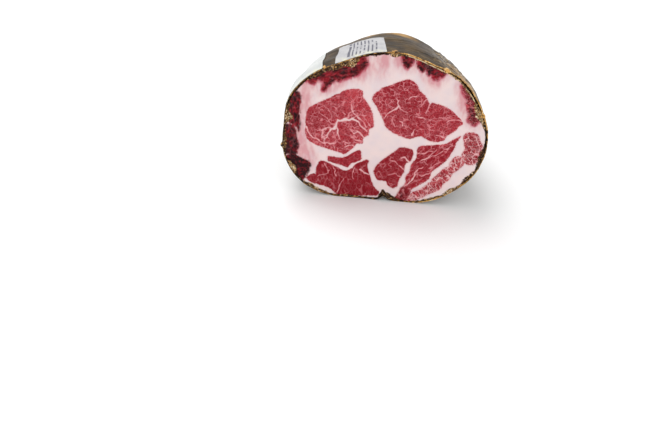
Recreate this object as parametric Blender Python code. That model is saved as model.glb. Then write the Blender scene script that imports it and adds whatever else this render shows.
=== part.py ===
"""Half a coppa: a cured pork neck cut across, still in its wrapper, lying on its flattened underside.

The cut face looks towards -Y and the gathered end of the wrapper points towards +Y. Four pieces:
the meat, the wrapper shell round it, and two paper labels stuck on the wrapper.
Every surface is one loft: the outline of the cut face, drawn in towards the far end.
"""

import math

import bmesh
import bpy
from mathutils import Vector

# Outline of the cut face, metres
FACE_HEIGHT = 0.1047
FACE_CENTRE_HEIGHT = 0.050
RIM_RADII = (
    0.0652, 0.0629, 0.0609, 0.0559, 0.0548, 0.0534, 0.0532, 0.0579, 0.0625,
    0.0637, 0.0673, 0.0656, 0.0570, 0.0503, 0.0497, 0.0555, 0.0602, 0.0646,
)  # face centre to the outside of the wrapper, every 20 degrees from +X towards +Z
SETTLE = 0.0009  # how far its own weight has flattened the underside

# The seam where the neck is rolled, seen as a notch under the cut face
CREASE_ANGLE = math.radians(273.75)
CREASE_HALF_WIDTH = math.radians(3.5)
CREASE_DEPTH = 0.0034

# Length and taper
LENGTH = 0.120
TAPER = 1.6  # power of the rounded far end: 2 is an ellipse, less is more pointed
TIP_HEIGHT = 0.038
CROWN = 0.0015  # how far the back swells behind the cut
SIDE_DRIFT = -0.010  # the far end leans to the left
FLAT_SHARE = 0.50  # share of the length that lies flat on the table

# Wrapper and meat
WRAPPER_THICKNESS = 0.0011
SNUG_GAP = 0.0005
LOOSE_GAP = 0.0011  # extra gap where the wrapper has come away, at the upper right
LOOSE_ANGLE = math.radians(35.0)
LOOSE_HALF_WIDTH = math.radians(38.0)
RIM_PROUD = 0.0006  # the wrapper's cut edge stands this far in front of the meat
RIM_WAVE = 0.0004

# Folds in the wrapper
FOLD_HEIGHT = 0.0011
FOLD_DEPTHS = (0.013, 0.027, 0.044)  # how far behind the cut each hoop fold runs
FOLD_HALF_WIDTH = 0.0042
PLEAT_COUNT = 16
PLEAT_HEIGHT = 0.0017

# The gathered end: (advance past the last ring, share of that ring's radius)
STUB_RINGS = ((0.0030, 0.62), (0.0055, 0.55), (0.0085, 0.74), (0.0098, 0.52))
LAST_RING_SHARE = 0.985  # of the length, where the stub begins

# Labels
LABEL_GAP = 0.00035
LABEL_THICKNESS = 0.00040
PRINTED_COLUMNS = (24, 33)  # grid columns from its right edge to its left one
PLAIN_COLUMNS = (36, 45)
PRINTED_ROWS = (0, 6)  # grid rings from its front edge to its back one
PLAIN_ROWS = (0, 10)

# Grid of the loft
SEGMENTS = 96
WRAPPER_RINGS = 22
LINING_RINGS = 14
MEAT_RINGS = 12
RING_CROWDING = 1.35  # above 1 the rings stand closer together at the cut
FACE_RING_SHARES = (0.35, 0.70, 0.94)

MEAT_COLOUR = (0.42, 0.08, 0.09, 1.0)
WRAPPER_COLOUR = (0.13, 0.085, 0.05, 1.0)
LABEL_COLOUR = (0.80, 0.80, 0.83, 1.0)


def clear_scene():
    """Removes whatever the startup file holds."""
    for obj in list(bpy.data.objects):
        bpy.data.objects.remove(obj, do_unlink=True)


def smooth_step(value):
    """0 below 0, 1 above 1, and a smooth rise between."""
    value = min(max(value, 0.0), 1.0)
    return value * value * (3.0 - 2.0 * value)


def bell(distance, half_width):
    """A smooth bump, 1 at distance 0."""
    return math.exp(-((distance / half_width) ** 2))


def turn_between(angle, other):
    """The smaller angle between two directions."""
    return abs((angle - other + math.pi) % (2.0 * math.pi) - math.pi)


def rim_radius(angle):
    """Face centre to the outside of the wrapper, on a smooth closed curve through RIM_RADII."""
    count = len(RIM_RADII)
    place = (angle / (2.0 * math.pi)) % 1.0 * count
    index = int(place)
    u = place - index
    before, here, after, beyond = (RIM_RADII[(index + step) % count] for step in (-1, 0, 1, 2))
    linear = (after - before) * u
    square = (2.0 * before - 5.0 * here + 4.0 * after - beyond) * u**2
    cube = (3.0 * here - before - 3.0 * after + beyond) * u**3
    return here + 0.5 * (linear + square + cube)


def loft_point(angle, share, inset=0.0):
    """A point of the body at an angle round the outline and a share of the length, inset from the outside."""
    crease = CREASE_DEPTH * bell(turn_between(angle, CREASE_ANGLE), CREASE_HALF_WIDTH)
    radius = rim_radius(angle) - inset - crease * (1.0 - share)
    side = radius * math.cos(angle)
    flat = inset + crease * (1.0 - share)
    height = max(FACE_CENTRE_HEIGHT + radius * math.sin(angle) - SETTLE, flat)

    narrowing = math.sqrt(max(1.0 - share**TAPER, 0.0))
    rise = max((share - FLAT_SHARE) / (1.0 - FLAT_SHARE), 0.0)
    underside = TIP_HEIGHT * (1.0 - math.sqrt(max(1.0 - rise * rise, 0.0)))
    crown = CROWN * math.sin(math.pi * min(share / 0.6, 1.0))
    topside = TIP_HEIGHT + (FACE_HEIGHT - TIP_HEIGHT) * narrowing + crown
    return Vector((
        side * narrowing + SIDE_DRIFT * share,
        (LENGTH - inset) * share,
        underside + height * (topside - underside) / FACE_HEIGHT,
    ))


def outward(angle, share):
    """The direction that points straight out of the body there."""
    step = 0.01
    share = min(max(share, step), 1.0 - 2.0 * step)
    round_it = loft_point(angle + step, share) - loft_point(angle - step, share)
    along_it = loft_point(angle, share + step) - loft_point(angle, share - step)
    return along_it.cross(round_it).normalized()


def fold_height(angle, share):
    """How far a fold or pleat lifts the wrapper there, never below 0."""
    depth = LENGTH * share
    hoops = 0.0
    for number, fold_depth in enumerate(FOLD_DEPTHS):
        wander = 0.004 * math.sin(2.0 * angle + 1.7 * number) + 0.002 * math.sin(5.0 * angle + number)
        strength = 0.5 + 0.5 * math.sin(3.0 * angle + 2.1 * number)
        hoops += strength * bell(depth - fold_depth - wander, FOLD_HALF_WIDTH)
    gathering = smooth_step((share - 0.35) / 0.5)
    pleats = 0.5 + 0.5 * math.cos(PLEAT_COUNT * angle + 1.2 * math.sin(3.0 * angle))
    resting = smooth_step((math.sin(angle) + 0.95) / 0.25)  # the underside is pressed flat
    return resting * (FOLD_HEIGHT * hoops * (1.0 - gathering) + PLEAT_HEIGHT * pleats * gathering)


def wrapper_point(angle, share):
    """A point on the outside of the wrapper, folds included."""
    point = loft_point(angle, share) + outward(angle, share) * fold_height(angle, share)
    rim = 1.0 - smooth_step(share * LENGTH / 0.012)
    wave = RIM_WAVE * math.sin(7.0 * angle) * math.sin(4.0 * angle + 1.0)
    point.y -= (RIM_PROUD + wave) * rim
    point.z = max(point.z, 0.0)
    return point


def meat_inset(angle, share):
    """How far the meat lies inside the outside of the wrapper."""
    loose = LOOSE_GAP * bell(turn_between(angle, LOOSE_ANGLE), LOOSE_HALF_WIDTH) * (1.0 - share)
    return WRAPPER_THICKNESS + SNUG_GAP + loose


def angles():
    """The angle of each grid column."""
    return [2.0 * math.pi * column / SEGMENTS for column in range(SEGMENTS)]


def shares(rings, last=1.0):
    """Shares of the length, closer together at the cut, that stop short of `last`."""
    return [last * (ring / rings) ** RING_CROWDING for ring in range(rings)]


def centre_of(ring):
    """The middle of a ring of points."""
    return sum(ring, Vector()) / len(ring)


def skin_rings(mesh, rings, first_pole, last_pole):
    """Joins rings of points into one closed surface, with a fan of triangles at each end."""
    rows = [[mesh.verts.new(point) for point in ring] for ring in rings]
    for row, following in zip(rows, rows[1:]):
        for column in range(SEGMENTS):
            beside = (column + 1) % SEGMENTS
            mesh.faces.new((row[column], row[beside], following[beside], following[column]))
    for row, pole, closes in ((rows[0], first_pole, False), (rows[-1], last_pole, True)):
        tip = mesh.verts.new(pole)
        for column in range(SEGMENTS):
            edge = (row[column], row[(column + 1) % SEGMENTS])
            mesh.faces.new((*edge, tip) if closes else (*reversed(edge), tip))


def new_material(name, colour, roughness):
    """A plain Principled material."""
    material = bpy.data.materials.new(name)
    material.use_nodes = True
    shader = material.node_tree.nodes["Principled BSDF"]
    shader.inputs["Base Color"].default_value = colour
    shader.inputs["Roughness"].default_value = roughness
    shader.inputs["Metallic"].default_value = 0.0
    return material


def new_object(name, mesh, material):
    """Turns a bmesh into a smooth-shaded object of that name, split into triangles one fixed way."""
    bmesh.ops.triangulate(mesh, faces=mesh.faces[:], quad_method="FIXED")
    bmesh.ops.recalc_face_normals(mesh, faces=mesh.faces[:])
    data = bpy.data.meshes.new(name)
    mesh.to_mesh(data)
    mesh.free()
    data.shade_smooth()
    data.set_sharp_from_angle(angle=math.radians(40.0))
    data.materials.append(material)
    obj = bpy.data.objects.new(name, data)
    bpy.context.collection.objects.link(obj)
    return obj


def stub_rings(last_ring):
    """The twist of wrapper past the last ring: a neck, a small flare and a rounded end."""
    centre = centre_of(last_ring)
    return [
        [centre + (point - centre) * scale + Vector((0.0, advance, 0.0)) for point in last_ring]
        for advance, scale in STUB_RINGS
    ]


def build_wrapper(material):
    """The shell: its lining from the far end to the cut, the cut edge, and its outside back again."""
    lining = [
        [loft_point(angle, share, WRAPPER_THICKNESS) for angle in angles()]
        for share in shares(LINING_RINGS)
    ]
    for point, outer in zip(lining[0], (wrapper_point(angle, 0.0) for angle in angles())):
        point.y = outer.y
    outside = [
        [wrapper_point(angle, share) for angle in angles()]
        for share in (*shares(WRAPPER_RINGS, LAST_RING_SHARE), LAST_RING_SHARE)
    ]
    stub = stub_rings(outside[-1])
    far_end = loft_point(0.0, 1.0, WRAPPER_THICKNESS)
    mesh = bmesh.new()
    skin_rings(mesh, lining[::-1] + outside + stub, far_end, centre_of(stub[-1]))
    return new_object("wrapper", mesh, material)


def build_meat(material):
    """The cured neck: a flat cut face, and sides that follow the wrapper with a small gap."""
    body = [
        [loft_point(angle, share, meat_inset(angle, share)) for angle in angles()]
        for share in shares(MEAT_RINGS)
    ]
    centre = Vector((0.0, 0.0, FACE_CENTRE_HEIGHT))
    face = [[centre + (point - centre) * share for point in body[0]] for share in FACE_RING_SHARES]
    tip = loft_point(0.0, 1.0, meat_inset(0.0, 1.0))
    mesh = bmesh.new()
    skin_rings(mesh, face + body, centre, tip)
    return new_object("meat", mesh, material)


def build_label(name, columns, rows, material):
    """A paper label: a sheet that follows the wrapper's own grid, thickened away from it."""
    grid_shares = shares(WRAPPER_RINGS, LAST_RING_SHARE)
    sheet = bmesh.new()
    grid = []
    for row in range(rows[0], rows[1] + 1):
        line = []
        for column in range(columns[0], columns[1] + 1):
            angle = 2.0 * math.pi * column / SEGMENTS
            lift = outward(angle, grid_shares[row]) * LABEL_GAP
            line.append(sheet.verts.new(wrapper_point(angle, grid_shares[row]) + lift))
        grid.append(line)
    for line, following in zip(grid, grid[1:]):
        for column in range(len(line) - 1):
            sheet.faces.new((line[column], line[column + 1], following[column + 1], following[column]))
    label = new_object(name, sheet, material)
    solidify = label.modifiers.new("paper", "SOLIDIFY")
    solidify.thickness = LABEL_THICKNESS
    solidify.offset = 1.0
    return label


def stand_on_origin(objects):
    """Moves the meshes so that the middle of the whole's underside is at the origin."""
    bpy.context.view_layer.update()
    corners = [Vector(corner) for obj in objects for corner in obj.bound_box]
    low = Vector([min(corner[axis] for corner in corners) for axis in range(3)])
    high = Vector([max(corner[axis] for corner in corners) for axis in range(3)])
    middle = (low + high) / 2.0
    for obj in objects:
        for vertex in obj.data.vertices:
            vertex.co -= Vector((middle.x, middle.y, low.z))


def build_coppa():
    """The whole object."""
    clear_scene()
    meat = new_material("cured_meat", MEAT_COLOUR, 0.45)
    casing = new_material("wrapper_film", WRAPPER_COLOUR, 0.35)
    paper = new_material("label_paper", LABEL_COLOUR, 0.50)
    stand_on_origin([
        build_wrapper(casing),
        build_meat(meat),
        build_label("label_printed", PRINTED_COLUMNS, PRINTED_ROWS, paper),
        build_label("label_plain", PLAIN_COLUMNS, PLAIN_ROWS, paper),
    ])


build_coppa()
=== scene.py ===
"""Dresses half a coppa: the marbled cut, its crust, the wrinkled wrapper and the two paper labels.

The cut face looks towards -Y, +Z is up, and the gathered end of the wrapper points towards +Y.
Lengths are in metres, or in millimetres where a name ends in _mm.
"""

import logging
import math
from collections.abc import Iterable
from dataclasses import dataclass, field
from enum import Enum, IntEnum

import bmesh
import bpy
import numpy as np
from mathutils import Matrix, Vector

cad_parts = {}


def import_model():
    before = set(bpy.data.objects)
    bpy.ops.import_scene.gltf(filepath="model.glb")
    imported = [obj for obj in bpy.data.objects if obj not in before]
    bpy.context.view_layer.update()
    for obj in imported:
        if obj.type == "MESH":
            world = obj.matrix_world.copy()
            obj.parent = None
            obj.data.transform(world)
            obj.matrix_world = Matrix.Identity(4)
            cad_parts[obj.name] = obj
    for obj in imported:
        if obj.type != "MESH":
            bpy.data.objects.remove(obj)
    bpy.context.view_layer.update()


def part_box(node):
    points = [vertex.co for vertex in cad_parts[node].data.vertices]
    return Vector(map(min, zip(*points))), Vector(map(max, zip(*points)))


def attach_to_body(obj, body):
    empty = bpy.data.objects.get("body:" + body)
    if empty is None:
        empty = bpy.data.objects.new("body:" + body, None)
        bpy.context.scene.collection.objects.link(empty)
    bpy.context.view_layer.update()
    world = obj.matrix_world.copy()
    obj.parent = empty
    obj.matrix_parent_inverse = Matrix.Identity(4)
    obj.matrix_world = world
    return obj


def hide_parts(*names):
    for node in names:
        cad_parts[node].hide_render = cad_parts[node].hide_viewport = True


Array = np.ndarray
Colour = tuple[float, float, float, float]
log = logging.getLogger("coppa")

MM = 0.001
TURN = 2.0 * math.pi


class Pattern(IntEnum):
    """The seed of each random pattern that is drawn in mesh code."""

    FACE_SWELL = 11
    FACE_GRAIN = 12
    CRUST = 13
    HOOP_WRINKLES = 21
    FILM_SWELL = 22
    CRUMPLES = 23
    RAGGED_RIM = 24
    RIM_WAVES = 25
    LABEL_LIFT = 31
    VEINS_SIDEWAYS = 41
    VEINS_UPWARDS = 43


def tint(red: float, green: float, blue: float) -> Colour:
    """Turns a colour as a screen shows it into the linear one that a shader takes.

    Args:
        red: how much red, 0 to 255.
        green: how much green, 0 to 255.
        blue: how much blue, 0 to 255.

    Returns:
        The linear colour, opaque.
    """
    seen = np.array((red, green, blue)) / 255.0
    linear = np.where(seen <= 0.04045, seen / 12.92, ((seen + 0.055) / 1.055) ** 2.4)
    return (*linear.tolist(), 1.0)


def smooth(value: Array, low: float = 0.0, high: float = 1.0) -> Array:
    """0 below low, 1 above high, and the curve 3t^2 - 2t^3 between."""
    share = np.clip((value - low) / (high - low), 0.0, 1.0)
    return share * share * (3.0 - 2.0 * share)


def bell(distance: Array, half_width: float) -> Array:
    """A smooth bump, exp(-(distance / half_width)^2)."""
    return np.exp(-((distance / half_width) ** 2))


def turn_between(angle: Array, other: float) -> Array:
    """The smaller angle between two directions, in radians."""
    return np.abs((angle - other + math.pi) % TURN - math.pi)


def cell_value(cell: Array, seed: int) -> Array:
    """A repeatable random number for each cell of space, mixed from the bits of its coordinates.

    Args:
        cell: whole-numbered coordinates, (..., 3).
        seed: which pattern.

    Returns:
        Numbers from 0 to 1, (...).
    """
    key = cell[..., 0] * 374761393 + cell[..., 1] * 668265263 + cell[..., 2] * 2147483647 + seed * 97463477
    key = (key ^ (key >> 13)) * 1274126177
    key = key ^ (key >> 16)
    return (key & 0xFFFFFF) / 0xFFFFFF


def cloud(points: Array, size: float, seed: int, octaves: int = 3) -> Array:
    """Smooth random heights over space.

    Each octave blends the values of a cell's eight corners, and is half as large and half as strong
    as the one before.

    Args:
        points: places, (..., 3).
        size: width of the largest features, in the points' own unit.
        seed: which pattern.
        octaves: how many layers.

    Returns:
        Heights from 0 to 1, with a mean near 0.5.
    """
    total = np.zeros(points.shape[:-1])
    for octave in range(octaves):
        spot = points / size * 2.0**octave + 17.3 * octave
        cell = np.floor(spot).astype(np.int64)
        part = smooth(spot - cell)
        layer = np.zeros(points.shape[:-1])
        for corner in np.ndindex(2, 2, 2):
            weight = np.prod(np.where(corner, part, 1.0 - part), axis=-1)
            layer += weight * cell_value(cell + np.array(corner), seed + octave)
        total += layer * 0.5**octave
    return total / (2.0 - 0.5 ** (octaves - 1))


def ridges(points: Array, size: float, seed: int, octaves: int = 3) -> Array:
    """Sharp crests, 1 - |2c - 1| of a cloud c, from 0 to 1."""
    return 1.0 - np.abs(2.0 * cloud(points, size, seed, octaves) - 1.0)


def catmull_rom(before: Array, here: Array, after: Array, beyond: Array, u: Array) -> Array:
    """A smooth curve from one value to the next, the cubic here + (a u + b u^2 + c u^3) / 2.

    Its slope at each end is half the step between that value's two neighbours.

    Args:
        before: the value ahead of the start.
        here: the value at the start.
        after: the value at the end.
        beyond: the value past the end.
        u: share of the way from start to end.

    Returns:
        Values on the curve.
    """
    linear = (after - before) * u
    square = (2.0 * before - 5.0 * here + 4.0 * after - beyond) * u**2
    cube = (3.0 * here - before - 3.0 * after + beyond) * u**3
    return here + 0.5 * (linear + square + cube)


def smooth_loop(corners: Iterable[tuple[float, float]], steps: int = 5) -> Array:
    """A closed smooth curve through the corners.

    Args:
        corners: the corners in order.
        steps: how many points each corner's stretch gets.

    Returns:
        Its points, (corners * steps, 2).
    """
    here = np.array(tuple(corners), float)[:, None]
    before, after, beyond = (np.roll(here, shift, axis=0) for shift in (1, -1, -2))
    u = (np.arange(steps) / steps)[None, :, None]
    return catmull_rom(before, here, after, beyond, u).reshape(-1, 2)


def line_distance(points: Array, start: Array, end: Array) -> Array:
    """Distance from each point to the nearest of some straight lines.

    Args:
        points: places, (n, 2).
        start: where each line starts, (m, 2).
        end: where it ends, (m, 2).

    Returns:
        Distances, (n,).
    """
    along = end - start
    offset = points[:, None] - start
    share = np.clip((offset * along).sum(-1) / (along * along).sum(-1), 0.0, 1.0)
    return np.sqrt(((offset - share[..., None] * along) ** 2).sum(-1).min(-1))


def depth_inside(points: Array, loop: Array, reach: float) -> Array:
    """How deep each point lies inside a closed loop.

    A point is inside where a ray towards +X crosses the loop an odd number of times.

    Args:
        points: places, (n, 2).
        loop: the loop's points, (m, 2).
        reach: points further outside than this are left at -reach.

    Returns:
        Distance to the loop, positive inside and negative outside.
    """
    depth = np.full(len(points), -reach)
    near = ((points > loop.min(0) - reach) & (points < loop.max(0) + reach)).all(-1)
    close = points[near]
    start, end = loop, np.roll(loop, -1, axis=0)
    side, height = close[:, :1], close[:, 1:]
    straddles = (start[:, 1] > height) != (end[:, 1] > height)
    rise = np.where(end[:, 1] == start[:, 1], 1.0, end[:, 1] - start[:, 1])
    crossing = start[:, 0] + (height - start[:, 1]) / rise * (end[:, 0] - start[:, 0])
    inside = (straddles & (side < crossing)).sum(-1) % 2 == 1
    depth[near] = np.where(inside, 1.0, -1.0) * line_distance(close, start, end)
    return np.maximum(depth, -reach)


def border(numbers: Array) -> Array:
    """The entries along a grid's four sides, once round."""
    return np.concatenate((numbers[0, :-1], numbers[:-1, -1], numbers[-1, :0:-1], numbers[:0:-1, 0]))


@dataclass(frozen=True)
class Stretch:
    """A stretch of the rim, with its middle and half-width in degrees, and what there is at its middle."""

    middle: float
    half_width: float
    strength: float

    def at(self, angle: Array) -> Array:
        """How much there is at each angle: the strength times a smooth bump."""
        distance = turn_between(angle, math.radians(self.middle))
        return self.strength * bell(distance, math.radians(self.half_width))


def along_rim(angle: Array, stretches: Iterable[Stretch]) -> Array:
    """The strongest of several stretches at each angle."""
    return np.max([stretch.at(angle) for stretch in stretches], axis=0)


class Skin:
    """Grids of points that become one mesh."""

    def __init__(self) -> None:
        """Starts empty."""
        self.points: list[Array] = []
        self.faces: list[list[int]] = []
        self.fields: dict[str, list[Array]] = {}
        self.count = 0

    def place(self, points: Array, **fields: Array | float) -> Array:
        """Adds points with their values.

        Args:
            points: places, (..., 3).
            **fields: named values, one for each point or one for all; a vector has a last axis of 3.

        Returns:
            The points' numbers in the mesh, arranged as they came.
        """
        numbers = np.arange(self.count, self.count + points[..., 0].size).reshape(points.shape[:-1])
        self.points.append(points.reshape(-1, 3))
        for name, values in fields.items():
            values = np.asarray(values, float)
            vector = values.ndim and values.ndim == points.ndim and values.shape[-1] == 3
            shape = points.shape if vector else points.shape[:-1]
            spread = np.broadcast_to(values, shape)
            self.fields.setdefault(name, []).append(spread.reshape((-1, 3) if vector else -1))
        self.count += numbers.size
        return numbers

    def weave(self, numbers: Array, closed: bool = True) -> None:
        """Joins a grid of points with quads.

        Args:
            numbers: the points' numbers, (rows, columns).
            closed: whether the last column joins the first.
        """
        if closed:
            numbers = np.concatenate((numbers, numbers[:, :1]), axis=1)
        around = (numbers[:-1, :-1], numbers[:-1, 1:], numbers[1:, 1:], numbers[1:, :-1])
        self.faces += np.stack(around, axis=-1).reshape(-1, 4).tolist()

    def cap(self, ring: Array, tip: int) -> None:
        """Closes a ring with a fan of triangles to one point."""
        fan = np.stack((ring, np.roll(ring, -1), np.full(len(ring), tip)), axis=-1)
        self.faces += fan.tolist()

    def finish(
        self, name: str, material: bpy.types.Material, crease_degrees: float = 50.0
    ) -> bpy.types.Object:
        """Makes the object, with its faces pointing out and its values as attributes.

        Args:
            name: the piece's name.
            material: its finish.
            crease_degrees: edges sharper than this are shaded as creases.

        Returns:
            The piece, at the origin.
        """
        mesh = bpy.data.meshes.new(name)
        mesh.from_pydata(np.concatenate(self.points), [], self.faces)
        for label, parts in self.fields.items():
            values = np.concatenate(parts)
            kind, slot_name = ("FLOAT_VECTOR", "vector") if values.ndim == 2 else ("FLOAT", "value")
            attribute = mesh.attributes.new(label, kind, "POINT")
            attribute.data.foreach_set(slot_name, values.ravel().astype(np.float32))
        work = bmesh.new()
        work.from_mesh(mesh)
        bmesh.ops.recalc_face_normals(work, faces=work.faces[:])
        work.to_mesh(mesh)
        work.free()
        mesh.shade_smooth()
        mesh.set_sharp_from_angle(angle=math.radians(crease_degrees))
        mesh.materials.append(material)
        piece = bpy.data.objects.new(name, mesh)
        bpy.context.collection.objects.link(piece)
        return piece


class Signal:
    """A value that changes over a surface; Python's operators add the Math nodes."""

    def __init__(self, bench: "Bench", socket: bpy.types.NodeSocket) -> None:
        """Wraps one output socket of a bench's node."""
        self.bench = bench
        self.socket = socket

    def __add__(self, other: "Signal | float") -> "Signal":
        """self + other."""
        return self.bench.maths("ADD", self, other)

    def __sub__(self, other: "Signal | float") -> "Signal":
        """self - other."""
        return self.bench.maths("SUBTRACT", self, other)

    def __rsub__(self, other: float) -> "Signal":
        """other - self."""
        return self.bench.maths("SUBTRACT", other, self)

    def __mul__(self, other: "Signal | float") -> "Signal":
        """self * other."""
        return self.bench.maths("MULTIPLY", self, other)

    __radd__ = __add__
    __rmul__ = __mul__

    def over(self, other: "Signal") -> "Signal":
        """The larger of the two."""
        return self.bench.maths("MAXIMUM", self, other)

    def rise(self, low: float, high: float) -> "Signal":
        """A smooth step, which falls where low is above high.

        Args:
            low: where the step is 0.
            high: where it is 1.

        Returns:
            The step, 0 to 1.
        """
        settings = {"interpolation_type": "SMOOTHSTEP"}
        first, last = (low, high) if low < high else (high, low)
        values = {"Value": self, "From Min": first, "From Max": last}
        if low > high:
            values |= {"To Min": 1.0, "To Max": 0.0}
        return Signal(self.bench, self.bench.node("ShaderNodeMapRange", settings, values).outputs["Result"])


class Bench:
    """One material and the nodes that are laid out for it."""

    def __init__(self, name: str) -> None:
        """Starts a material with a bare Principled shader.

        Args:
            name: the material's name.
        """
        self.material = bpy.data.materials.new(name)
        self.material.use_nodes = True
        self.tree = self.material.node_tree
        self.shader = self.tree.nodes["Principled BSDF"]
        place = self.node("ShaderNodeTexCoord", {}, {}).outputs["Object"]
        self.place_mm = self.vector("MULTIPLY", place, (1.0 / MM, 1.0 / MM, 1.0 / MM))

    def node(self, kind: str, settings: dict[str, object], values: dict[str | int, object]) -> bpy.types.Node:
        """Adds any node.

        Args:
            kind: the node's type.
            settings: its own properties, set first.
            values: by socket name or number, a number, a tuple, a socket or a Signal.

        Returns:
            The node.
        """
        made = self.tree.nodes.new(kind)
        for key, value in settings.items():
            setattr(made, key, value)
        for key, value in values.items():
            if isinstance(value, Signal):
                value = value.socket
            if isinstance(value, bpy.types.NodeSocket):
                self.tree.links.new(value, made.inputs[key])
            else:
                made.inputs[key].default_value = value
        return made

    def maths(self, operation: str, first: Signal | float, second: Signal | float) -> Signal:
        """One Math node."""
        made = self.node("ShaderNodeMath", {"operation": operation}, {0: first, 1: second})
        return Signal(self, made.outputs[0])

    def read(self, name: str) -> Signal:
        """A value stored on the mesh."""
        made = self.node("ShaderNodeAttribute", {"attribute_name": name}, {})
        return Signal(self, made.outputs["Fac"])

    def read_vector(self, name: str) -> bpy.types.NodeSocket:
        """A vector stored on the mesh."""
        return self.node("ShaderNodeAttribute", {"attribute_name": name}, {}).outputs["Vector"]

    def vector(self, operation: str, first: object, second: object) -> bpy.types.NodeSocket:
        """One Vector Math node."""
        made = self.node("ShaderNodeVectorMath", {"operation": operation}, {0: first, 1: second})
        return made.outputs["Vector"]

    def stretched(self, scale: tuple[float, float, float]) -> bpy.types.NodeSocket:
        """The place in millimetres, multiplied axis by axis."""
        return self.vector("MULTIPLY", self.place_mm, scale)

    def mist(self, size_mm: float, place: bpy.types.NodeSocket | None = None, detail: float = 2.0) -> Signal:
        """Soft noise from 0 to 1 with features of about size_mm."""
        values = {"Vector": place or self.place_mm, "Scale": 1.0 / size_mm, "Detail": detail}
        return Signal(self, self.node("ShaderNodeTexNoise", {}, values).outputs["Fac"])

    def sway(
        self, size_mm: float, amount: float, place: bpy.types.NodeSocket | None = None, detail: float = 2.0
    ) -> Signal:
        """Soft noise about 0, this amount from end to end."""
        return (self.mist(size_mm, place, detail) - 0.5) * amount

    def warped(self, place: bpy.types.NodeSocket, size_mm: float, amount: float) -> bpy.types.NodeSocket:
        """A place pushed about by noise.

        Args:
            place: the place's socket.
            size_mm: the noise's width.
            amount: how far it pushes, from end to end.

        Returns:
            The pushed place.
        """
        values = {"Vector": place, "Scale": 1.0 / size_mm, "Detail": 1.0}
        push = self.node("ShaderNodeTexNoise", {}, values).outputs["Color"]
        centred = self.vector("SUBTRACT", push, (0.5, 0.5, 0.5))
        return self.vector("ADD", place, self.vector("MULTIPLY", centred, (amount, amount, amount)))

    def cells(self, place: bpy.types.NodeSocket, size_mm: float) -> Signal:
        """Distance to the nearest border of a net of cells.

        Args:
            place: where, in millimetres.
            size_mm: the cells' width.

        Returns:
            The distance in millimetres.
        """
        settings = {"feature": "DISTANCE_TO_EDGE", "voronoi_dimensions": "3D"}
        made = self.node("ShaderNodeTexVoronoi", settings, {"Vector": place, "Scale": 1.0 / size_mm})
        return Signal(self, made.outputs["Distance"]) * size_mm

    def cell_tone(self, place: bpy.types.NodeSocket, size_mm: float) -> Signal:
        """A random value for each cell of a net.

        Args:
            place: where, in millimetres.
            size_mm: the cells' width.

        Returns:
            The value, 0 to 1.
        """
        made = self.node("ShaderNodeTexVoronoi", {}, {"Vector": place, "Scale": 1.0 / size_mm})
        parted = self.node("ShaderNodeSeparateColor", {}, {"Color": made.outputs["Color"]})
        return Signal(self, parted.outputs["Red"])

    def blend(self, amount: Signal, first: object, second: object) -> bpy.types.NodeSocket:
        """The first colour where amount is 0, and the second where it is 1."""
        made = self.node("ShaderNodeMix", {"data_type": "RGBA"}, {0: amount, 6: first, 7: second})
        return made.outputs[2]

    def paint(self, colour: object, *coats: tuple[Signal, object]) -> object:
        """Lays coats over a colour in turn.

        Args:
            colour: the bare colour.
            *coats: for each coat, how much of it shows and its own colour.

        Returns:
            The colour's socket.
        """
        for amount, coat in coats:
            colour = self.blend(amount, colour, coat)
        return colour

    def finish(
        self, colour: object, roughness: Signal, height: Signal, depth_mm: float, constants: dict[str, object]
    ) -> bpy.types.Material:
        """Connects the shader.

        Args:
            colour: the base colour's socket.
            roughness: the roughness over the surface.
            height: relief too fine for the mesh, 0 to 1.
            depth_mm: how deep a height of 1 is.
            constants: the shader's other sockets, the same all over.

        Returns:
            The material.
        """
        relief = self.node("ShaderNodeBump", {}, {"Height": height, "Distance": depth_mm * MM})
        for key, value in constants.items():
            self.shader.inputs[key].default_value = value
        self.tree.links.new(colour, self.shader.inputs["Base Color"])
        self.tree.links.new(roughness.socket, self.shader.inputs["Roughness"])
        self.tree.links.new(relief.outputs["Normal"], self.shader.inputs["Normal"])
        return self.material


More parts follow.
